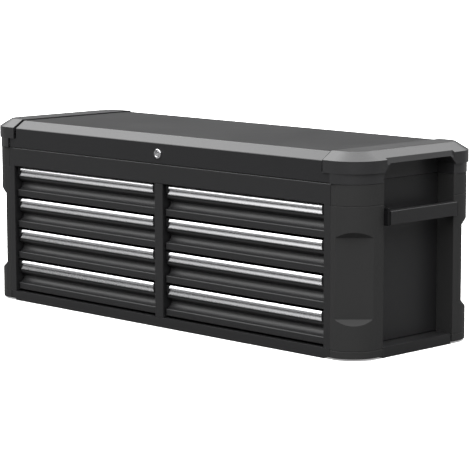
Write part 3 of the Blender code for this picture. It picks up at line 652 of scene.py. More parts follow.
def line_cutter(path, height, depth):
    """A thin bar with a square section along a path at one height, which cuts a V-shaped line."""
    curve = bpy.data.curves.new("line", "CURVE")
    curve.dimensions = "3D"
    curve.bevel_depth = depth
    curve.bevel_resolution = 0
    curve.use_fill_caps = True
    spline = curve.splines.new("POLY")
    spline.points.add(len(path) - 1)
    for spot, (x, y) in zip(spline.points, path):
        spot.co = (x, y, height, 1)
    holder = bpy.data.objects.new("line", curve)
    bpy.context.scene.collection.objects.link(holder)
    mesh = finished_mesh(holder)
    bpy.data.objects.remove(holder)
    shape = bmesh.new()
    shape.from_mesh(mesh)
    return to_mesh(shape)


class CHEST_OT_columns(bpy.types.Operator):
    """Make the four corner columns"""
    bl_idname = "chest.columns"
    bl_label = "Corner columns"

    def execute(self, context):
        edge = sizes().column.edge
        right = column_mesh()
        for end, mesh in (("front", right), ("rear", mirrored(right, 1, MIDDLE_Y))):
            for side, sign in SIDES:
                name = "column_%s_%s" % (end, side)
                add_piece(name + "_moulding", sided(mesh, sign), finish("column"),
                          "chest", (name,), edge)
        return {"FINISHED"}


# Case

class CHEST_OT_base_pan(bpy.types.Operator):
    """Make the base pan, a shallow folded box under the columns"""
    bl_idname = "chest.base_pan"
    bl_label = "Base pan"

    def execute(self, context):
        size = sizes().sheet
        reach = SEAM_X - 2 * size.gap
        waist_front = COLUMN_EDGE + 2 * size.gap
        waist_back = 2 * MIDDLE_Y - waist_front
        half = [(reach, FRONT), (reach, waist_front), (size.rail_x, waist_front),
                (size.rail_x, waist_back), (reach, waist_back), (reach, BACK)]
        plan = half + [(-x, y) for x, y in reversed(half)]
        shell = extruded(plan, 0, PAN_TOP, "Z", size.fold)
        inner = [(x - math.copysign(size.sheet, x), y + math.copysign(size.sheet, MIDDLE_Y - y))
                 for x, y in plan]
        inside = extruded(inner, size.sheet, PAN_TOP - size.sheet, "Z")
        mouth = block((-size.inner_x, FRONT + size.flange, PAN_TOP / 2),
                      (size.inner_x, BACK - size.flange, PAN_TOP + size.flange))
        inside = carved(inside, self.raised_ends(size.sheet))
        pan = carved(shell, [("-", inside), ("-", mouth)] + self.raised_ends(0.0))
        add_piece("folded_base_pan", pan, finish("steel"), "chest", ("base_pan",),
                  size.edge)
        return {"FINISHED"}

    def raised_ends(self, grow):
        """Cutters that lift the pan's front and back corners to the height of the columns' feet."""
        size = sizes().sheet
        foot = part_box("column_front_right")[0][2] + grow
        start = size.inner_x - grow
        end = SEAM_X + size.flange
        profile = [(start, -size.flange), (start, grow), (start + foot, foot), (end, foot), (end, -size.flange)]
        waist = COLUMN_EDGE + 2 * size.gap + grow
        front = extruded(profile, FRONT - size.flange, waist, "Y")
        cutters = (front, mirrored(front, 0))
        return [("-", mesh) for right in cutters for mesh in (right, mirrored(right, 1, MIDDLE_Y))]


class CHEST_OT_front_frame(bpy.types.Operator):
    """Make the header and the stiles round the drawer openings, with their folds"""
    bl_idname = "chest.front_frame"
    bl_label = "Front frame"

    def execute(self, context):
        size = sizes().sheet
        reach = SEAM_X - size.gap / 3
        half = [(size.inner_x, size.opening_top + size.fold), (size.inner_x, CASE_LOW), (reach, CASE_LOW),
                (reach, CASE_TOP - size.fold)]
        portal = half + [(-x, z) for x, z in reversed(half)]
        face = extruded(portal, FRONT, FRONT + size.sheet, "Y")
        steps = []
        for top, end, way in ((CASE_TOP, reach, -1), (size.opening_top, size.inner_x - size.gap, 1)):
            path = [(FRONT, top + way * 2 * size.fold), (FRONT, top), (FRONT + size.flange, top)]
            steps.append(("+", bent(path, -end, end, "X", way * size.sheet, size.fold)))
        slot_low, slot_high = self.cam_slot()
        steps.append(("-", block(slot_low, slot_high)))
        mesh = carved(face, steps)
        add_piece("portal_frame", mesh, finish("steel"), "chest", ("front_frame",),
                  size.edge)
        return {"FINISHED"}

    def cam_slot(self):
        """The slot in the header's upper fold through which the lock's cam turns down."""
        size = sizes().fitting
        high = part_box("lock_plug")[1]
        barrel_low, barrel_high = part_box("lock_barrel")
        middle = (barrel_low[0] + barrel_high[0]) / 2
        clear = size.cam_room
        depth = 2 * sizes().sheet.sheet
        reach = math.hypot(high[0] - middle, size.cam_half + size.cam_hook)
        return ((middle - size.cam_half - clear, high[1] - size.cam_sheet - clear, CASE_TOP - depth),
                (middle + reach, high[1] + clear, CASE_TOP + OVER))


def runner_sections():
    """The C-sections of the three slide members, about the middle of a bank, as (x, z)."""
    size = sizes().drawer
    sheet = sizes().sheet
    half = size.slide_height / 2
    step = sheet.sheet + size.slide_gap
    bank = (sheet.inner_x - DIVIDER_X) / 2
    case_web = bank + sheet.sheet / 2
    middle_web = case_web - sheet.sheet - 2 * size.slide_gap
    tray_web = bank - size.slide_space - sheet.tray_sheet / 2
    middle_reach = tray_web + step
    tray_reach = middle_web - sheet.sheet - 2 * size.slide_gap
    return (
        [(middle_reach + size.slide_gap, -half), (case_web, -half), (case_web, half),
         (middle_reach + size.slide_gap, half)],
        [(middle_reach, step - half), (middle_web, step - half), (middle_web, half - step),
         (middle_reach, half - step)],
        [(tray_reach, 2 * step - half), (tray_web, 2 * step - half), (tray_web, half - 2 * step),
         (tray_reach, half - 2 * step)],
    )


def runner(section, inward):
    """One slide member on the right of a bank, about the drawer's top front edge."""
    size = sizes().drawer
    sheet = sizes().sheet
    start = FRONT + size.slide_start
    thickness = sheet.sheet if inward else -sheet.sheet
    mesh = bent(section, start, start + size.slide_length, "Y", thickness, sheet.fold)
    return moved(mesh, (0, 0, -size.slide_drop))


def drawer_spot(sign, row):
    """The middle of a drawer's top front edge."""
    size = sizes().drawer
    sheet = sizes().sheet
    middle = (sheet.inner_x + DIVIDER_X) / 2
    return Vector((sign * middle, 0, sheet.opening_top - size.top_gap - (row - 1) * size.pitch))


class CHEST_OT_side_walls(bpy.types.Operator):
    """Make the folded side walls of the recesses and the fixed slide members on them"""
    bl_idname = "chest.side_walls"
    bl_label = "Side walls and runners"

    def execute(self, context):
        size = sizes().sheet
        column = sizes().column
        near = FRONT + size.sheet + size.gap
        far = 2 * MIDDLE_Y - near
        inner_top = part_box("till_floor")[0][2] - size.gap
        path = [(RECESS_X, CASE_TOP), (RECESS_X, CASE_LOW), (size.inner_x, CASE_LOW), (size.inner_x, inner_top)]
        wall = bent(path, near, far, "Y", -size.sheet, size.fold)
        corner = block((SEAM_X - 2 * size.gap, FRONT - column.wall, -column.wall),
                       (COLUMN_X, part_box("column_front_right")[0][1] + column.notch, CASE_TOP + column.wall))
        wall = carved(wall, [("-", corner), ("-", mirrored(corner, 1, MIDDLE_Y))])
        section = runner_sections()[0]
        rails = [moved(runner(section, True), drawer_spot(1, row)) for row in range(1, ROWS + 1)]
        rails = joined(rails)
        stud = strut_stud()
        for side, sign in SIDES:
            add_piece("wall_sheet_" + side, sided(wall, sign), finish("steel"), "chest",
                      ("side_wall_" + side,), size.edge)
            add_piece("wall_runners_" + side, sided(rails, sign), finish("zinc"), "chest")
            add_piece("strut_foot_stud_" + side, sided(stud, sign), finish("zinc"),
                      "chest")
        return {"FINISHED"}


class CHEST_OT_divider(bpy.types.Operator):
    """Make the folded divider between the banks and the fixed slide members on it"""
    bl_idname = "chest.divider"
    bl_label = "Centre divider"

    def execute(self, context):
        size = sizes().sheet
        low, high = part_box("centre_divider")
        path = [(-DIVIDER_X, high[1]), (-DIVIDER_X, FRONT), (DIVIDER_X, FRONT), (DIVIDER_X, high[1])]
        web = bent(path, low[2], high[2], "Z", size.sheet, size.fold)
        inward = mirrored(runner(runner_sections()[0], True), 0)
        rails = [moved(inward, drawer_spot(1, row)) for row in range(1, ROWS + 1)]
        rails = joined(rails + [mirrored(rail, 0) for rail in rails])
        add_piece("divider_sheet", web, finish("steel"), "chest", ("centre_divider",),
                  size.edge)
        add_piece("divider_runners", rails, finish("zinc"), "chest")
        return {"FINISHED"}


class CHEST_OT_panels(bpy.types.Operator):
    """Coat the back panel and the floor under the lid"""
    bl_idname = "chest.panels"
    bl_label = "Back panel and till floor"

    def execute(self, context):
        dress("back_panel", "steel")
        dress("till_floor", "steel")
        return {"FINISHED"}


# Lid

class CHEST_OT_lid_panel(bpy.types.Operator):
    """Make the folded steel lid with its two chamfers"""
    bl_idname = "chest.lid_panel"
    bl_label = "Lid panel"

    def execute(self, context):
        size = sizes().lid
        sheet = sizes().sheet
        low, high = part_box("lid_panel")
        edge = LID_LOW + size.skirt
        half = [(FRONT + size.hem, LID_LOW), (FRONT, LID_LOW), (FRONT, edge), (FRONT + size.chamfer, LID_TOP)]
        path = half + [(2 * MIDDLE_Y - y, z) for y, z in reversed(half)]
        panel = bent(path, low[0], high[0], "X", -sheet.sheet, size.fold)
        barrel_low, barrel_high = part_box("lock_barrel")
        middle_z = (barrel_low[2] + barrel_high[2]) / 2
        hole = bar(sizes().fitting.lock_hole, (0, FRONT - size.hem, middle_z), (0, FRONT + size.hem, middle_z),
                   sheet.edge)
        joint = block((size.cap_seam - size.joint, FRONT - size.hem, size.cap_low),
                      (size.cap_seam + sheet.gap, BACK + size.hem, LID_TOP + size.hem))
        panel = carved(panel, [("-", hole), ("-", joint), ("-", mirrored(joint, 0))])
        add_piece("lid_sheet", panel, finish("lid"), "lid", ("lid_panel",),
                  sheet.edge)
        return {"FINISHED"}


def end_plan(inner_x, outer_x, proud, radius):
    """The plan of one end of the chest, with two round outer corners."""
    front = FRONT - proud
    back = BACK + proud
    lower = arc((outer_x - radius, front + radius), radius, -90, 0, 24)
    upper = arc((outer_x - radius, back - radius), radius, 0, 90, 24)
    return [(inner_x, front)] + lower + upper + [(inner_x, back)]


def chamfered(plan, low, edge, width, rise):
    """An extruded plan whose top edge is chamfered all round."""
    shape = bmesh.new()
    shape.from_mesh(extruded(plan, low, edge, "Z"))
    top = [face for face in shape.faces if face.normal.z > 0.9]
    bmesh.ops.inset_region(shape, faces=top, thickness=width, depth=rise, use_even_offset=True)
    return to_mesh(shape)


def lid_end_mesh():
    """The right end of the lid: a moulding round the chamfer, cut back over the side recess."""
    size = sizes().lid
    sheet = sizes().sheet
    out_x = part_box("lid_end_right")[1][0]
    edge = LID_LOW + size.skirt
    far_in = size.cap_seam - 3 * size.chamfer
    radius = sizes().column.radius
    cap_edge = edge + size.cap_rise - sheet.sheet / 2
    cap_top = LID_TOP + size.cap_rise
    upper = chamfered(end_plan(far_in, out_x, size.cap_proud, radius), size.cap_low, cap_edge,
                      size.chamfer + size.cap_rise, cap_top - cap_edge)
    proud = size.cap_proud
    wall = size.cap_wall
    lower = extruded(end_plan(SEAM_X, COLUMN_X, proud, radius), LID_LOW, size.cap_low + sheet.sheet, "Z")
    gap = sheet.gap
    high_hollow = chamfered(end_plan(far_in - OVER, out_x - size.cap_wall, gap, radius - size.cap_wall),
                            size.cap_low + size.cap_wall, edge + gap, size.chamfer, LID_TOP - edge)
    floor_top = size.cap_low + size.cap_wall + sheet.sheet
    low_hollow = extruded(end_plan(SEAM_X - OVER, COLUMN_X - size.cap_wall, proud - size.cap_wall,
                                   radius - size.cap_wall), LID_LOW - OVER, floor_top, "Z")
    panel_room = block((far_in - OVER, FRONT - gap, LID_LOW - OVER), (SEAM_X - gap, BACK + gap, floor_top))
    front = COLUMN_EDGE
    rear = 2 * MIDDLE_Y - front
    low = LID_LOW - 2 * OVER

    def recess(margin, inner_x):
        sill = size.lip_low + margin
        shape = [
            (front - margin, low), (rear + margin, low), (rear + margin, sill - size.corner),
            (rear + margin - size.corner, sill), (front - margin + size.corner, sill),
            (front - margin, sill - size.corner),
        ]
        return extruded(shape, inner_x, out_x + OVER, "X")

    keep = recess(size.cap_wall, RECESS_X - size.cap_wall)
    low_hollow = carved(low_hollow, [("-", keep)])
    lip_wall = block((out_x - size.lip_inset - wall, front + size.lip_end - wall, low),
                     (out_x + OVER, rear - size.lip_end + wall, size.lip_high + OVER))
    high_hollow = carved(high_hollow, [("-", keep), ("-", lip_wall)])
    trim = block((far_in - OVER, FRONT - 2 * OVER, low), (size.cap_seam, BACK + 2 * OVER, cap_top + OVER))
    lip = [(out_x - size.lip_inset, size.lip_high), (out_x - size.lip_overhang, size.lip_low - OVER / 2),
           (out_x + OVER, size.lip_low - OVER / 2), (out_x + OVER, size.lip_high)]
    lip_cut = extruded(lip, front + size.lip_end, rear - size.lip_end, "Y")
    return carved(upper, [("+", lower), ("-", low_hollow), ("-", high_hollow), ("-", panel_room),
                          ("-", recess(0, RECESS_X)), ("-", lip_cut), ("-", trim)])


class CHEST_OT_lid_ends(bpy.types.Operator):
    """Make the two moulded ends of the lid"""
    bl_idname = "chest.lid_ends"
    bl_label = "Lid ends"

    def execute(self, context):
        right = lid_end_mesh()
        edge = sizes().lid.edge
        stud = strut_head_stud()
        for side, sign in SIDES:
            node = "lid_end_" + side
            add_piece("moulded_" + node, sided(right, sign), finish("cap"), "lid",
                      (node,), edge)
            add_piece("strut_head_stud_" + side, sided(stud, sign), finish("zinc"), "lid")
        return {"FINISHED"}


# Hinge, struts and lock

class CHEST_OT_hinge(bpy.types.Operator):
    """Plate the long hinge and set its rivets"""
    bl_idname = "chest.hinge"
    bl_label = "Hinge"

    def execute(self, context):
        size = sizes().fitting
        for node in ("hinge_case_leaf", "hinge_lid_leaf", "hinge_pin"):
            dress(node, "zinc")
        leaves = (("hinge_case_leaf", "chest", size.rivet_case), ("hinge_lid_leaf", "lid", -size.rivet_lid))
        for node, body, rise in leaves:
            low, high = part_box(node)
            start_z = low[2] if body == "chest" else high[2]
            face_y = BACK + sizes().sheet.gap + sizes().sheet.sheet
            rivets = []
            for index in range(RIVETS):
                x = low[0] + (high[0] - low[0]) * (index + 0.5) / RIVETS
                spot = (x, face_y, start_z + rise)
                rivets.append(rivet(size.rivet, spot))
            add_piece(node + "_rivets", joined(rivets), finish("zinc"), body)
        return {"FINISHED"}


def rivet(radius, spot):
    """A domed rivet head that faces the back."""
    profile = [(0, 0), (0, radius)]
    profile += [(radius * DOME_SHARE * math.sin(angle), radius * math.cos(angle))
                for angle in (math.radians(step * 15) for step in range(1, 6))]
    profile += [(radius * DOME_SHARE, 0)]
    end = (spot[0], spot[1] + 1, spot[2])
    return turned(profile, spot, end, 16)


def strut_ends():
    """The foot and head of the right strut, in its middle plane."""
    low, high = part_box("strut_right_cylinder")
    rod_low, rod_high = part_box("strut_right_rod")
    eye = sizes().fitting.eye
    x = (low[0] + high[0]) / 2
    foot = Vector((x, high[1] - eye, low[2] + eye))
    head = Vector((x, rod_low[1] + eye, rod_high[2] - eye))
    return foot, head


def strut_stud():
    """The stud of the right strut's foot, on the side wall."""
    size = sizes().fitting
    foot = strut_ends()[0]
    wall = RECESS_X - sizes().sheet.sheet
    return bar(size.stud, (wall, foot.y, foot.z), (foot.x - size.foot_reach, foot.y, foot.z), size.soft, 24)


def strut_head_stud():
    """The stud of the right strut's head, on the lid's end."""
    size = sizes().fitting
    head = strut_ends()[1]
    wall = RECESS_X - sizes().lid.cap_wall / 2
    return bar(size.stud, (wall, head.y, head.z), (head.x + size.head_reach, head.y, head.z), size.soft, 24)


class CHEST_OT_struts(bpy.types.Operator):
    """Make the gas struts: a lacquered cylinder, a bright rod and an eye at each end"""
    bl_idname = "chest.struts"
    bl_label = "Gas struts"

    def execute(self, context):
        size = sizes().fitting
        foot, head = strut_ends()
        along = (head - foot).normalized()
        half = Vector((size.eye_half, 0, 0))
        soft = size.eye_soft
        gap = sizes().sheet.gap
        start = size.tube_start
        bore = size.rod + size.rod_room
        tube_profile = [(start, 0), (start, size.rod)]
        tube_profile += [(far, size.strut - inset) for far, inset in TUBE_STEPS]
        tube_profile += [(size.tube_end, bore), (size.tube_bore, bore)]
        tube = turned(tube_profile, foot, foot + along)
        neck = turned([(size.eye_half, 0), (size.eye_half, size.rod), (size.neck_end, size.rod),
                       (size.neck_end, 0)], foot, foot + along)
        width = 2 * size.eye_half
        hole = size.stud + gap
        eye = turned([(0, hole), (0, size.eye - soft), (soft, size.eye), (width - soft, size.eye),
                      (width, size.eye - soft), (width, hole), (0, hole)], foot - half, foot + half)
        inner = size.tube_bore
        reach = (head - foot).length - size.eye_half
        shaft = turned([(inner, 0), (inner, size.rod - gap), (inner + gap, size.rod), (reach, size.rod),
                        (reach, 0)], foot, foot + along)
        end = bar(size.eye, head - half, head + half, soft)
        for side, sign in SIDES:
            parts = [sided(part, sign) for part in (joined([tube, neck]), eye, shaft, end)]
            body = "strut_%s_cylinder" % side
            rod = "strut_%s_rod" % side
            add_piece(body + "_tube", parts[0], finish("enamel"), body, (body,))
            add_piece(body + "_eye", parts[1], finish("small"), body)
            add_piece(rod + "_shaft", parts[2], finish("chrome"), rod, (rod,))
            add_piece(rod + "_eye", parts[3], finish("small"), rod)
        return {"FINISHED"}


class CHEST_OT_lock(bpy.types.Operator):
    """Make the lock: a chromed barrel with a stepped ring, its plug with the key slot, and the cam"""
    bl_idname = "chest.lock"
    bl_label = "Lock"

    def execute(self, context):
        size = sizes().fitting
        low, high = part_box("lock_barrel")
        plug_low, plug_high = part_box("lock_plug")
        centre_z = (low[2] + high[2]) / 2
        start = Vector((0, low[1], centre_z))
        back = high[1] - low[1]
        proud = FRONT - low[1]
        gap = sizes().sheet.gap
        bore = size.plug + gap
        seat = proud - gap
        ring = [(size.bore_lip, bore), (0.0, bore + size.bore_flare)]
        ring += [(far, size.flange - inset) for far, inset in RING_STEPS]
        ring += [(seat, size.flange), (seat, size.barrel), (back, size.barrel), (back, bore),
                 (size.bore_lip, bore)]
        barrel = turned(ring, start, start + Vector((0, 1, 0)), 48)
        nut_y = FRONT + size.nut_gap
        inner = size.nut_bore
        nut = turned([(0, inner), (0, size.nut), (size.nut_height, size.nut), (size.nut_height, inner)],
                     (0, nut_y, centre_z), (0, nut_y + 1, centre_z), 6)
        add_piece("lock_ring", joined([barrel, nut]), finish("chrome"), "lid",
                  ("lock_barrel",))
        face = plug_low[1]
        before = face - OVER / 2
        plug = bar(size.plug, (0, face, centre_z), (0, high[1] + gap, centre_z), size.plug_edge, 48)
        slot = block((-size.slot_half, before, centre_z - size.slot_height),
                     (size.slot_half, face + size.slot_depth, centre_z + size.slot_height))
        dish = bar(size.dish, (0, before, centre_z), (0, face + size.dish, centre_z), size.dish_edge, 24)
        plug = carved(plug, [("-", slot), ("-", dish)])
        half = size.cam_half
        tip = plug_high[0]
        hook = half + size.cam_hook
        cam = [(-half, -half), (tip - size.cam_tip, -half), (tip - size.cam_tip, -hook),
               (tip, -hook), (tip, half), (-half, half)]
        cam = [(x, z + centre_z) for x, z in cam]
        plate = extruded(cam, plug_high[1] - size.cam_sheet, plug_high[1], "Y")
        add_piece("lock_cylinder", plug, finish("chrome"), "lock_plug", ("lock_plug",))
        add_piece("lock_cam", plate, finish("zinc"), "lock_plug", (), gap)
        return {"FINISHED"}


# Side handles

class CHEST_OT_handles(bpy.types.Operator):
    """Make the rectangular tubes of the carry handles and their moulded sockets"""
    bl_idname = "chest.handles"
    bl_label = "Side handles"

    def execute(self, context):
        size = sizes().fitting
        low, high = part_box("side_handle_right")
        bar_top = high[2] - size.socket_rise
        bar_low = low[2] + size.socket_lip
        near = low[1]
        far = high[1]
        inner = low[0] + size.socket_lip
        section = [(inner, bar_low), (high[0], bar_low), (high[0], bar_top), (inner, bar_top)]
        tube = extruded(section, near + size.socket, far - size.handle_wall, "Y", size.handle_edge)
        wall = size.handle_wall
        hole = [(inner + wall, bar_low + wall), (high[0] - wall, bar_low + wall),
                (high[0] - wall, bar_top - wall), (inner + wall, bar_top - wall)]
        bore = extruded(hole, near - wall, far + wall, "Y", wall / 2)
        tube = carved(tube, [("-", bore)])
        ends = []
        lip = size.socket_lip
        core = [(inner - lip / 2, bar_low + lip), (high[0] - 2 * lip, bar_low + lip),
                (high[0] - 2 * lip, bar_top - lip), (inner - lip / 2, bar_top - lip)]
        for start, end in ((near, near + size.socket), (far, far - size.socket)):
            plate = block((low[0], min(start, end), low[2]),
                          (high[0] - size.handle_edge, max(start, end), high[2]), size.handle_edge / 2)
            plug = extruded(core, min(start, end) - lip, max(start, end) + lip, "Y")
            ends += [plate, plug] if start < end else [plug]
        sockets = joined(ends)
        for side, sign in SIDES:
            add_piece("handle_tube_" + side, sided(tube, sign), finish("steel"), "chest",
                      ("side_handle_" + side,))
            add_piece("handle_sockets_" + side, sided(sockets, sign), finish("small"),
                      "chest", (), size.soft)
        return {"FINISHED"}


# Drawers

def front_path():
    """The outer line of a drawer front, from its top fold down to its lower one, as (y, z)."""
    size = sizes().drawer
    gap = sizes().sheet.gap
    height = size.pitch - size.gap
    back = size.tray_start
    seat = size.recess + size.pull_depth + gap
    face = size.recess + size.face_inset
    face_top = -size.pull_height - 2 * gap
    lip_top = size.lip - height
    path = [(back, -size.fold), (back, 0), (seat, 0), (seat, face_top), (face, face_top)]
    path += [(face, face_top - size.face_height)]
    for across, up in arc((0, 0), 1, 90, 0, 12):
        path.append((size.recess + up * size.scoop_depth, lip_top + size.scoop_height * (1 - across)))
    path += [(size.recess, -height), (back, -height), (back, size.fold - height)]
    return path


class CHEST_OT_drawers(bpy.types.Operator):
    """Make the eight drawers: the folded front, the tray and the slide members on it"""
    bl_idname = "chest.drawers"
    bl_label = "Drawers"

    def execute(self, context):
        size = sizes().drawer
        sheet = sizes().sheet
        bank = (sheet.inner_x - DIVIDER_X) / 2
        half = bank - size.side_gap
        path = [(FRONT + y, z) for y, z in front_path()]
        skin = bent(path, -half, half, "X", sheet.sheet, size.front_fold)
        ends = (size.plate_inset - half, half - size.plate_inset - sheet.sheet)
        plates = [extruded(path[1:-1], start, start + sheet.sheet, "X") for start in ends]
        front = joined([skin] + plates)
        tray = self.tray(bank - size.slide_space)
        member = runner(runner_sections()[2], False)
        members = joined([member, mirrored(member, 0)])
        middle = runner(runner_sections()[1], True)
        for side, sign in SIDES:
            for row in range(1, ROWS + 1):
                name = "drawer_%s_%d" % (side, row)
                spot = drawer_spot(sign, row)
                add_piece(name + "_front", moved(front, spot), finish("steel"), name,
                          (name + "_box",), sheet.edge)
                add_piece(name + "_tray", moved(tray, spot), finish("steel"), name)
                add_piece(name + "_members", moved(members, spot), finish("zinc"), name)
                for part, mesh in (("left", mirrored(middle, 0)), ("right", middle)):
                    node = "%s_slide_%s" % (name, part)
                    add_piece(node + "_member", moved(mesh, spot), finish("zinc"),
                              name + "_middle", (node,))
        return {"FINISHED"}

    def tray(self, half):
        """A folded tray with round corners."""
        size = sizes().drawer
        sheet = sizes().sheet
        start = FRONT + size.tray_start
        top = -size.tray_drop
        shape = bmesh.new()
        shape.from_mesh(block((-half, start, top - size.tray_height), (half, start + size.tray_length, top)))
        lid = [face for face in shape.faces if face.normal.z > 0.9]
        bmesh.ops.delete(shape, geom=lid, context="FACES_ONLY")
        corners = [edge for edge in shape.edges if along_axis(edge, "Z")]
        bevel(shape, corners, size.tray_corner, 4)
        floor = [edge for edge in shape.edges if len(edge.link_faces) == 2 and edge.calc_face_angle() > 1.2]
        bevel(shape, floor, size.tray_fold, 2)
        for face in shape.faces:
            face.normal_update()
        bmesh.ops.solidify(shape, geom=shape.faces[:], thickness=sheet.tray_sheet)
        return to_mesh(shape)


class CHEST_OT_pulls(bpy.types.Operator):
    """Make the aluminium pull strips and their moulded end caps"""
    bl_idname = "chest.pulls"
    bl_label = "Drawer pulls"

    def execute(self, context):
        size = sizes().drawer
        sheet = sizes().sheet
        half = (sheet.inner_x - DIVIDER_X) / 2 - size.pull_end
        strip_shares = ((0.36, 0.0), (0.20, 0.10), (0.08, 0.21), (0.0, 0.32), (0.03, 0.36), (0.24, 0.39),
                        (0.32, 0.43), (0.31, 0.50), (0.26, 0.60), (0.19, 0.70), (0.11, 0.80), (0.02, 0.92),
                        (0.0, 0.95), (0.04, 1.0))
        cap_shares = ((0.28, 0.0), (0.08, 0.04), (0.0, 0.12), (0.0, 0.80), (0.28, 1.0))
        strip = extruded(self.section(strip_shares, 0.0), -half, half, "X", size.pull_edge, 25)
        cap = extruded(self.section(cap_shares, 2 * sheet.gap), half - 2 * sheet.gap, half + size.cap, "X")
        caps = joined([cap, mirrored(cap, 0)])
        for side, sign in SIDES:
            for row in range(1, ROWS + 1):
                name = "drawer_%s_%d" % (side, row)
                spot = drawer_spot(sign, row)
                add_piece(name + "_strip", moved(strip, spot), finish("aluminium"), name,
                          (name + "_pull",))
                add_piece(name + "_end_caps", moved(caps, spot), finish("small"), name,
                          (), sizes().fitting.soft)
        return {"FINISHED"}

    def section(self, shares, grow):
        """A section of the strip or its cap, from shares of its depth and height."""
        size = sizes().drawer
        height = size.pull_height + grow
        near = FRONT + size.recess - grow
        back = FRONT + size.recess + size.pull_depth
        line = [(near + across * size.pull_depth, grow - down * height) for across, down in shares]
        return [(back, grow)] + line + [(back, grow - height)]


# Stage

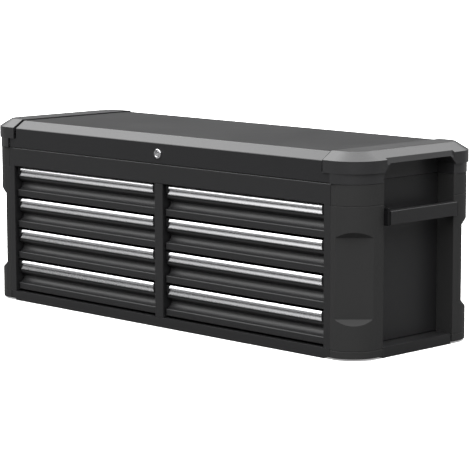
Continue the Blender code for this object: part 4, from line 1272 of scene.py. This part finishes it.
class CHEST_OT_stage(bpy.types.Operator):
    """Set the floor, the lamps, the world and the camera"""
    bl_idname = "chest.stage"
    bl_label = "Stage"

    def execute(self, context):
        self.floor()
        self.world()
        self.lamp("upper_softbox", (-1.4, -0.4, 2.6), 1.6, 12)
        self.lamp("front_softbox", (2.2, -2.4, 1.6), 1.4, 14)
        self.camera()
        return {"FINISHED"}

    def floor(self):
        """A floor that the camera sees nearly white, with the chest's shadow, and that lights it little."""
        shape = bmesh.new()
        bmesh.ops.create_grid(shape, x_segments=2, y_segments=2, size=30)
        bmesh.ops.translate(shape, verts=shape.verts, vec=(0, 0, -0.0005))
        floor = bpy.data.objects.new("studio_floor", to_mesh(shape, "studio_floor"))
        bpy.context.scene.collection.objects.link(floor)
        material, tree, shader = new_finish("matt_studio_floor", 0.9, specular=0.0)
        rays = add_node(tree, "ShaderNodeLightPath")
        glossy = add_node(tree, "ShaderNodeMath", {"operation": "MULTIPLY_ADD", 1: -0.08, 2: 0.20},
                          {0: rays.outputs["Is Glossy Ray"]})
        level = add_node(tree, "ShaderNodeMath", {"operation": "MULTIPLY_ADD", 1: 0.65},
                         {0: rays.outputs["Is Camera Ray"], 2: glossy.outputs[0]})
        tone = add_node(tree, "ShaderNodeCombineColor", {},
                        {name: level.outputs[0] for name in ("Red", "Green", "Blue")})
        tree.links.new(tone.outputs[0], shader.inputs["Base Color"])
        spot = add_node(tree, "ShaderNodeTexCoord")
        far = add_node(tree, "ShaderNodeVectorMath", {"operation": "LENGTH"}, {0: spot.outputs["Object"]})
        # The floor fades into the white backdrop from 0.9 m to 4 m
        fade = add_node(tree, "ShaderNodeMapRange",
                        {"From Min": 0.9, "From Max": 4.0, "To Min": 0.35, "To Max": 1.0},
                        {"Value": far.outputs["Value"]})
        lift = add_node(tree, "ShaderNodeMath", {"operation": "MULTIPLY"},
                        {0: rays.outputs["Is Camera Ray"], 1: fade.outputs[0]})
        shader.inputs["Emission Color"].default_value = (1, 1, 1, 1)
        tree.links.new(lift.outputs[0], shader.inputs["Emission Strength"])
        floor.data.materials.append(material)

    def world(self):
        """A sky that is dim at the horizon and brighter overhead; the camera sees it white."""
        world = bpy.data.worlds.new("studio")
        bpy.context.scene.world = world
        world.use_nodes = True
        tree = world.node_tree
        view = sizes().stage
        way = add_node(tree, "ShaderNodeTexCoord")
        across = add_node(tree, "ShaderNodeSeparateXYZ", {}, {0: way.outputs["Generated"]})
        dome = add_node(tree, "ShaderNodeMapRange",
                        {"interpolation_type": "SMOOTHSTEP", "From Min": 0.24, "From Max": 0.60,
                         "To Min": view.sky_low, "To Max": view.sky_high}, {"Value": across.outputs["Z"]})
        fall = add_node(tree, "ShaderNodeMath", {"operation": "MULTIPLY_ADD", 1: -0.40, 2: 1.03},
                        {0: across.outputs["Y"]})
        sky = add_node(tree, "ShaderNodeMath", {"operation": "MULTIPLY"},
                       {0: dome.outputs[0], 1: fall.outputs[0]})
        rays = add_node(tree, "ShaderNodeLightPath")
        seen = add_node(tree, "ShaderNodeMath", {"operation": "MAXIMUM"},
                        {0: rays.outputs["Is Camera Ray"], 1: rays.outputs["Is Transmission Ray"]})
        tone = add_node(tree, "ShaderNodeMix", {"data_type": "FLOAT", 3: 1.0},
                        {0: seen.outputs[0], 2: sky.outputs[0]})
        tree.links.new(tone.outputs[0], tree.nodes["Background"].inputs["Strength"])
        tree.nodes["Background"].inputs["Color"].default_value = (1, 1, 1, 1)

    def lamp(self, name, spot, width, power):
        """A square softbox that faces the middle of the chest."""
        light = bpy.data.lights.new(name, "AREA")
        light.shape = "SQUARE"
        light.size = width
        light.energy = power
        lamp = bpy.data.objects.new(name, light)
        lamp.location = spot
        lamp.rotation_euler = (Vector(spot) - Vector((0, 0, 0.2))).to_track_quat("Z", "Y").to_euler()
        bpy.context.scene.collection.objects.link(lamp)

    def camera(self):
        """The camera of the photograph."""
        view = sizes().stage
        data = bpy.data.cameras.new("camera")
        data.lens = view.lens
        data.sensor_width = 36
        data.clip_end = 100
        camera = bpy.data.objects.new("camera", data)
        camera.location = (view.camera_x, view.camera_y, view.camera_z)
        flat = math.cos(view.elevation)
        back = Vector((math.sin(view.azimuth) * flat, -math.cos(view.azimuth) * flat, math.sin(view.elevation)))
        turn = back.to_track_quat("Z", "Y").to_matrix() @ Matrix.Rotation(view.roll, 3, "Z")
        camera.rotation_euler = turn.to_euler()
        bpy.context.scene.collection.objects.link(camera)
        bpy.context.scene.camera = camera
        bpy.context.scene.view_settings.view_transform = "Standard"


class ChestSettings(bpy.types.PropertyGroup):
    """All sizes and colours of the chest."""
    sheet: PointerProperty(type=SheetSizes)
    column: PointerProperty(type=ColumnSizes)
    lid: PointerProperty(type=LidSizes)
    drawer: PointerProperty(type=DrawerSizes)
    fitting: PointerProperty(type=FittingSizes)
    colours: PointerProperty(type=FinishColours)
    stage: PointerProperty(type=StageSettings)


OPERATORS = (
    CHEST_OT_stage,
    CHEST_OT_columns,
    CHEST_OT_base_pan,
    CHEST_OT_front_frame,
    CHEST_OT_side_walls,
    CHEST_OT_divider,
    CHEST_OT_panels,
    CHEST_OT_lid_panel,
    CHEST_OT_lid_ends,
    CHEST_OT_hinge,
    CHEST_OT_struts,
    CHEST_OT_lock,
    CHEST_OT_handles,
    CHEST_OT_drawers,
    CHEST_OT_pulls,
)


class CHEST_PT_pieces(bpy.types.Panel):
    """The pieces of the chest, in the order that they are made"""
    bl_idname = "CHEST_PT_pieces"
    bl_label = "Tool chest"
    bl_space_type = "VIEW_3D"
    bl_region_type = "UI"
    bl_category = "Tool chest"

    def draw(self, context):
        for operator in OPERATORS:
            self.layout.operator(operator.bl_idname)


GROUPS = (SheetSizes, ColumnSizes, LidSizes, DrawerSizes, FittingSizes, FinishColours, StageSettings,
          ChestSettings)


def register():
    for group in GROUPS + OPERATORS + (CHEST_PT_pieces,):
        bpy.utils.register_class(group)
    bpy.types.Scene.chest = PointerProperty(type=ChestSettings)


def unregister():
    del bpy.types.Scene.chest
    for group in reversed(GROUPS + OPERATORS + (CHEST_PT_pieces,)):
        bpy.utils.unregister_class(group)


def main():
    register()
    for operator in OPERATORS:
        group, name = operator.bl_idname.split(".")
        getattr(getattr(bpy.ops, group), name)()


if __name__ == "__main__":
    main()
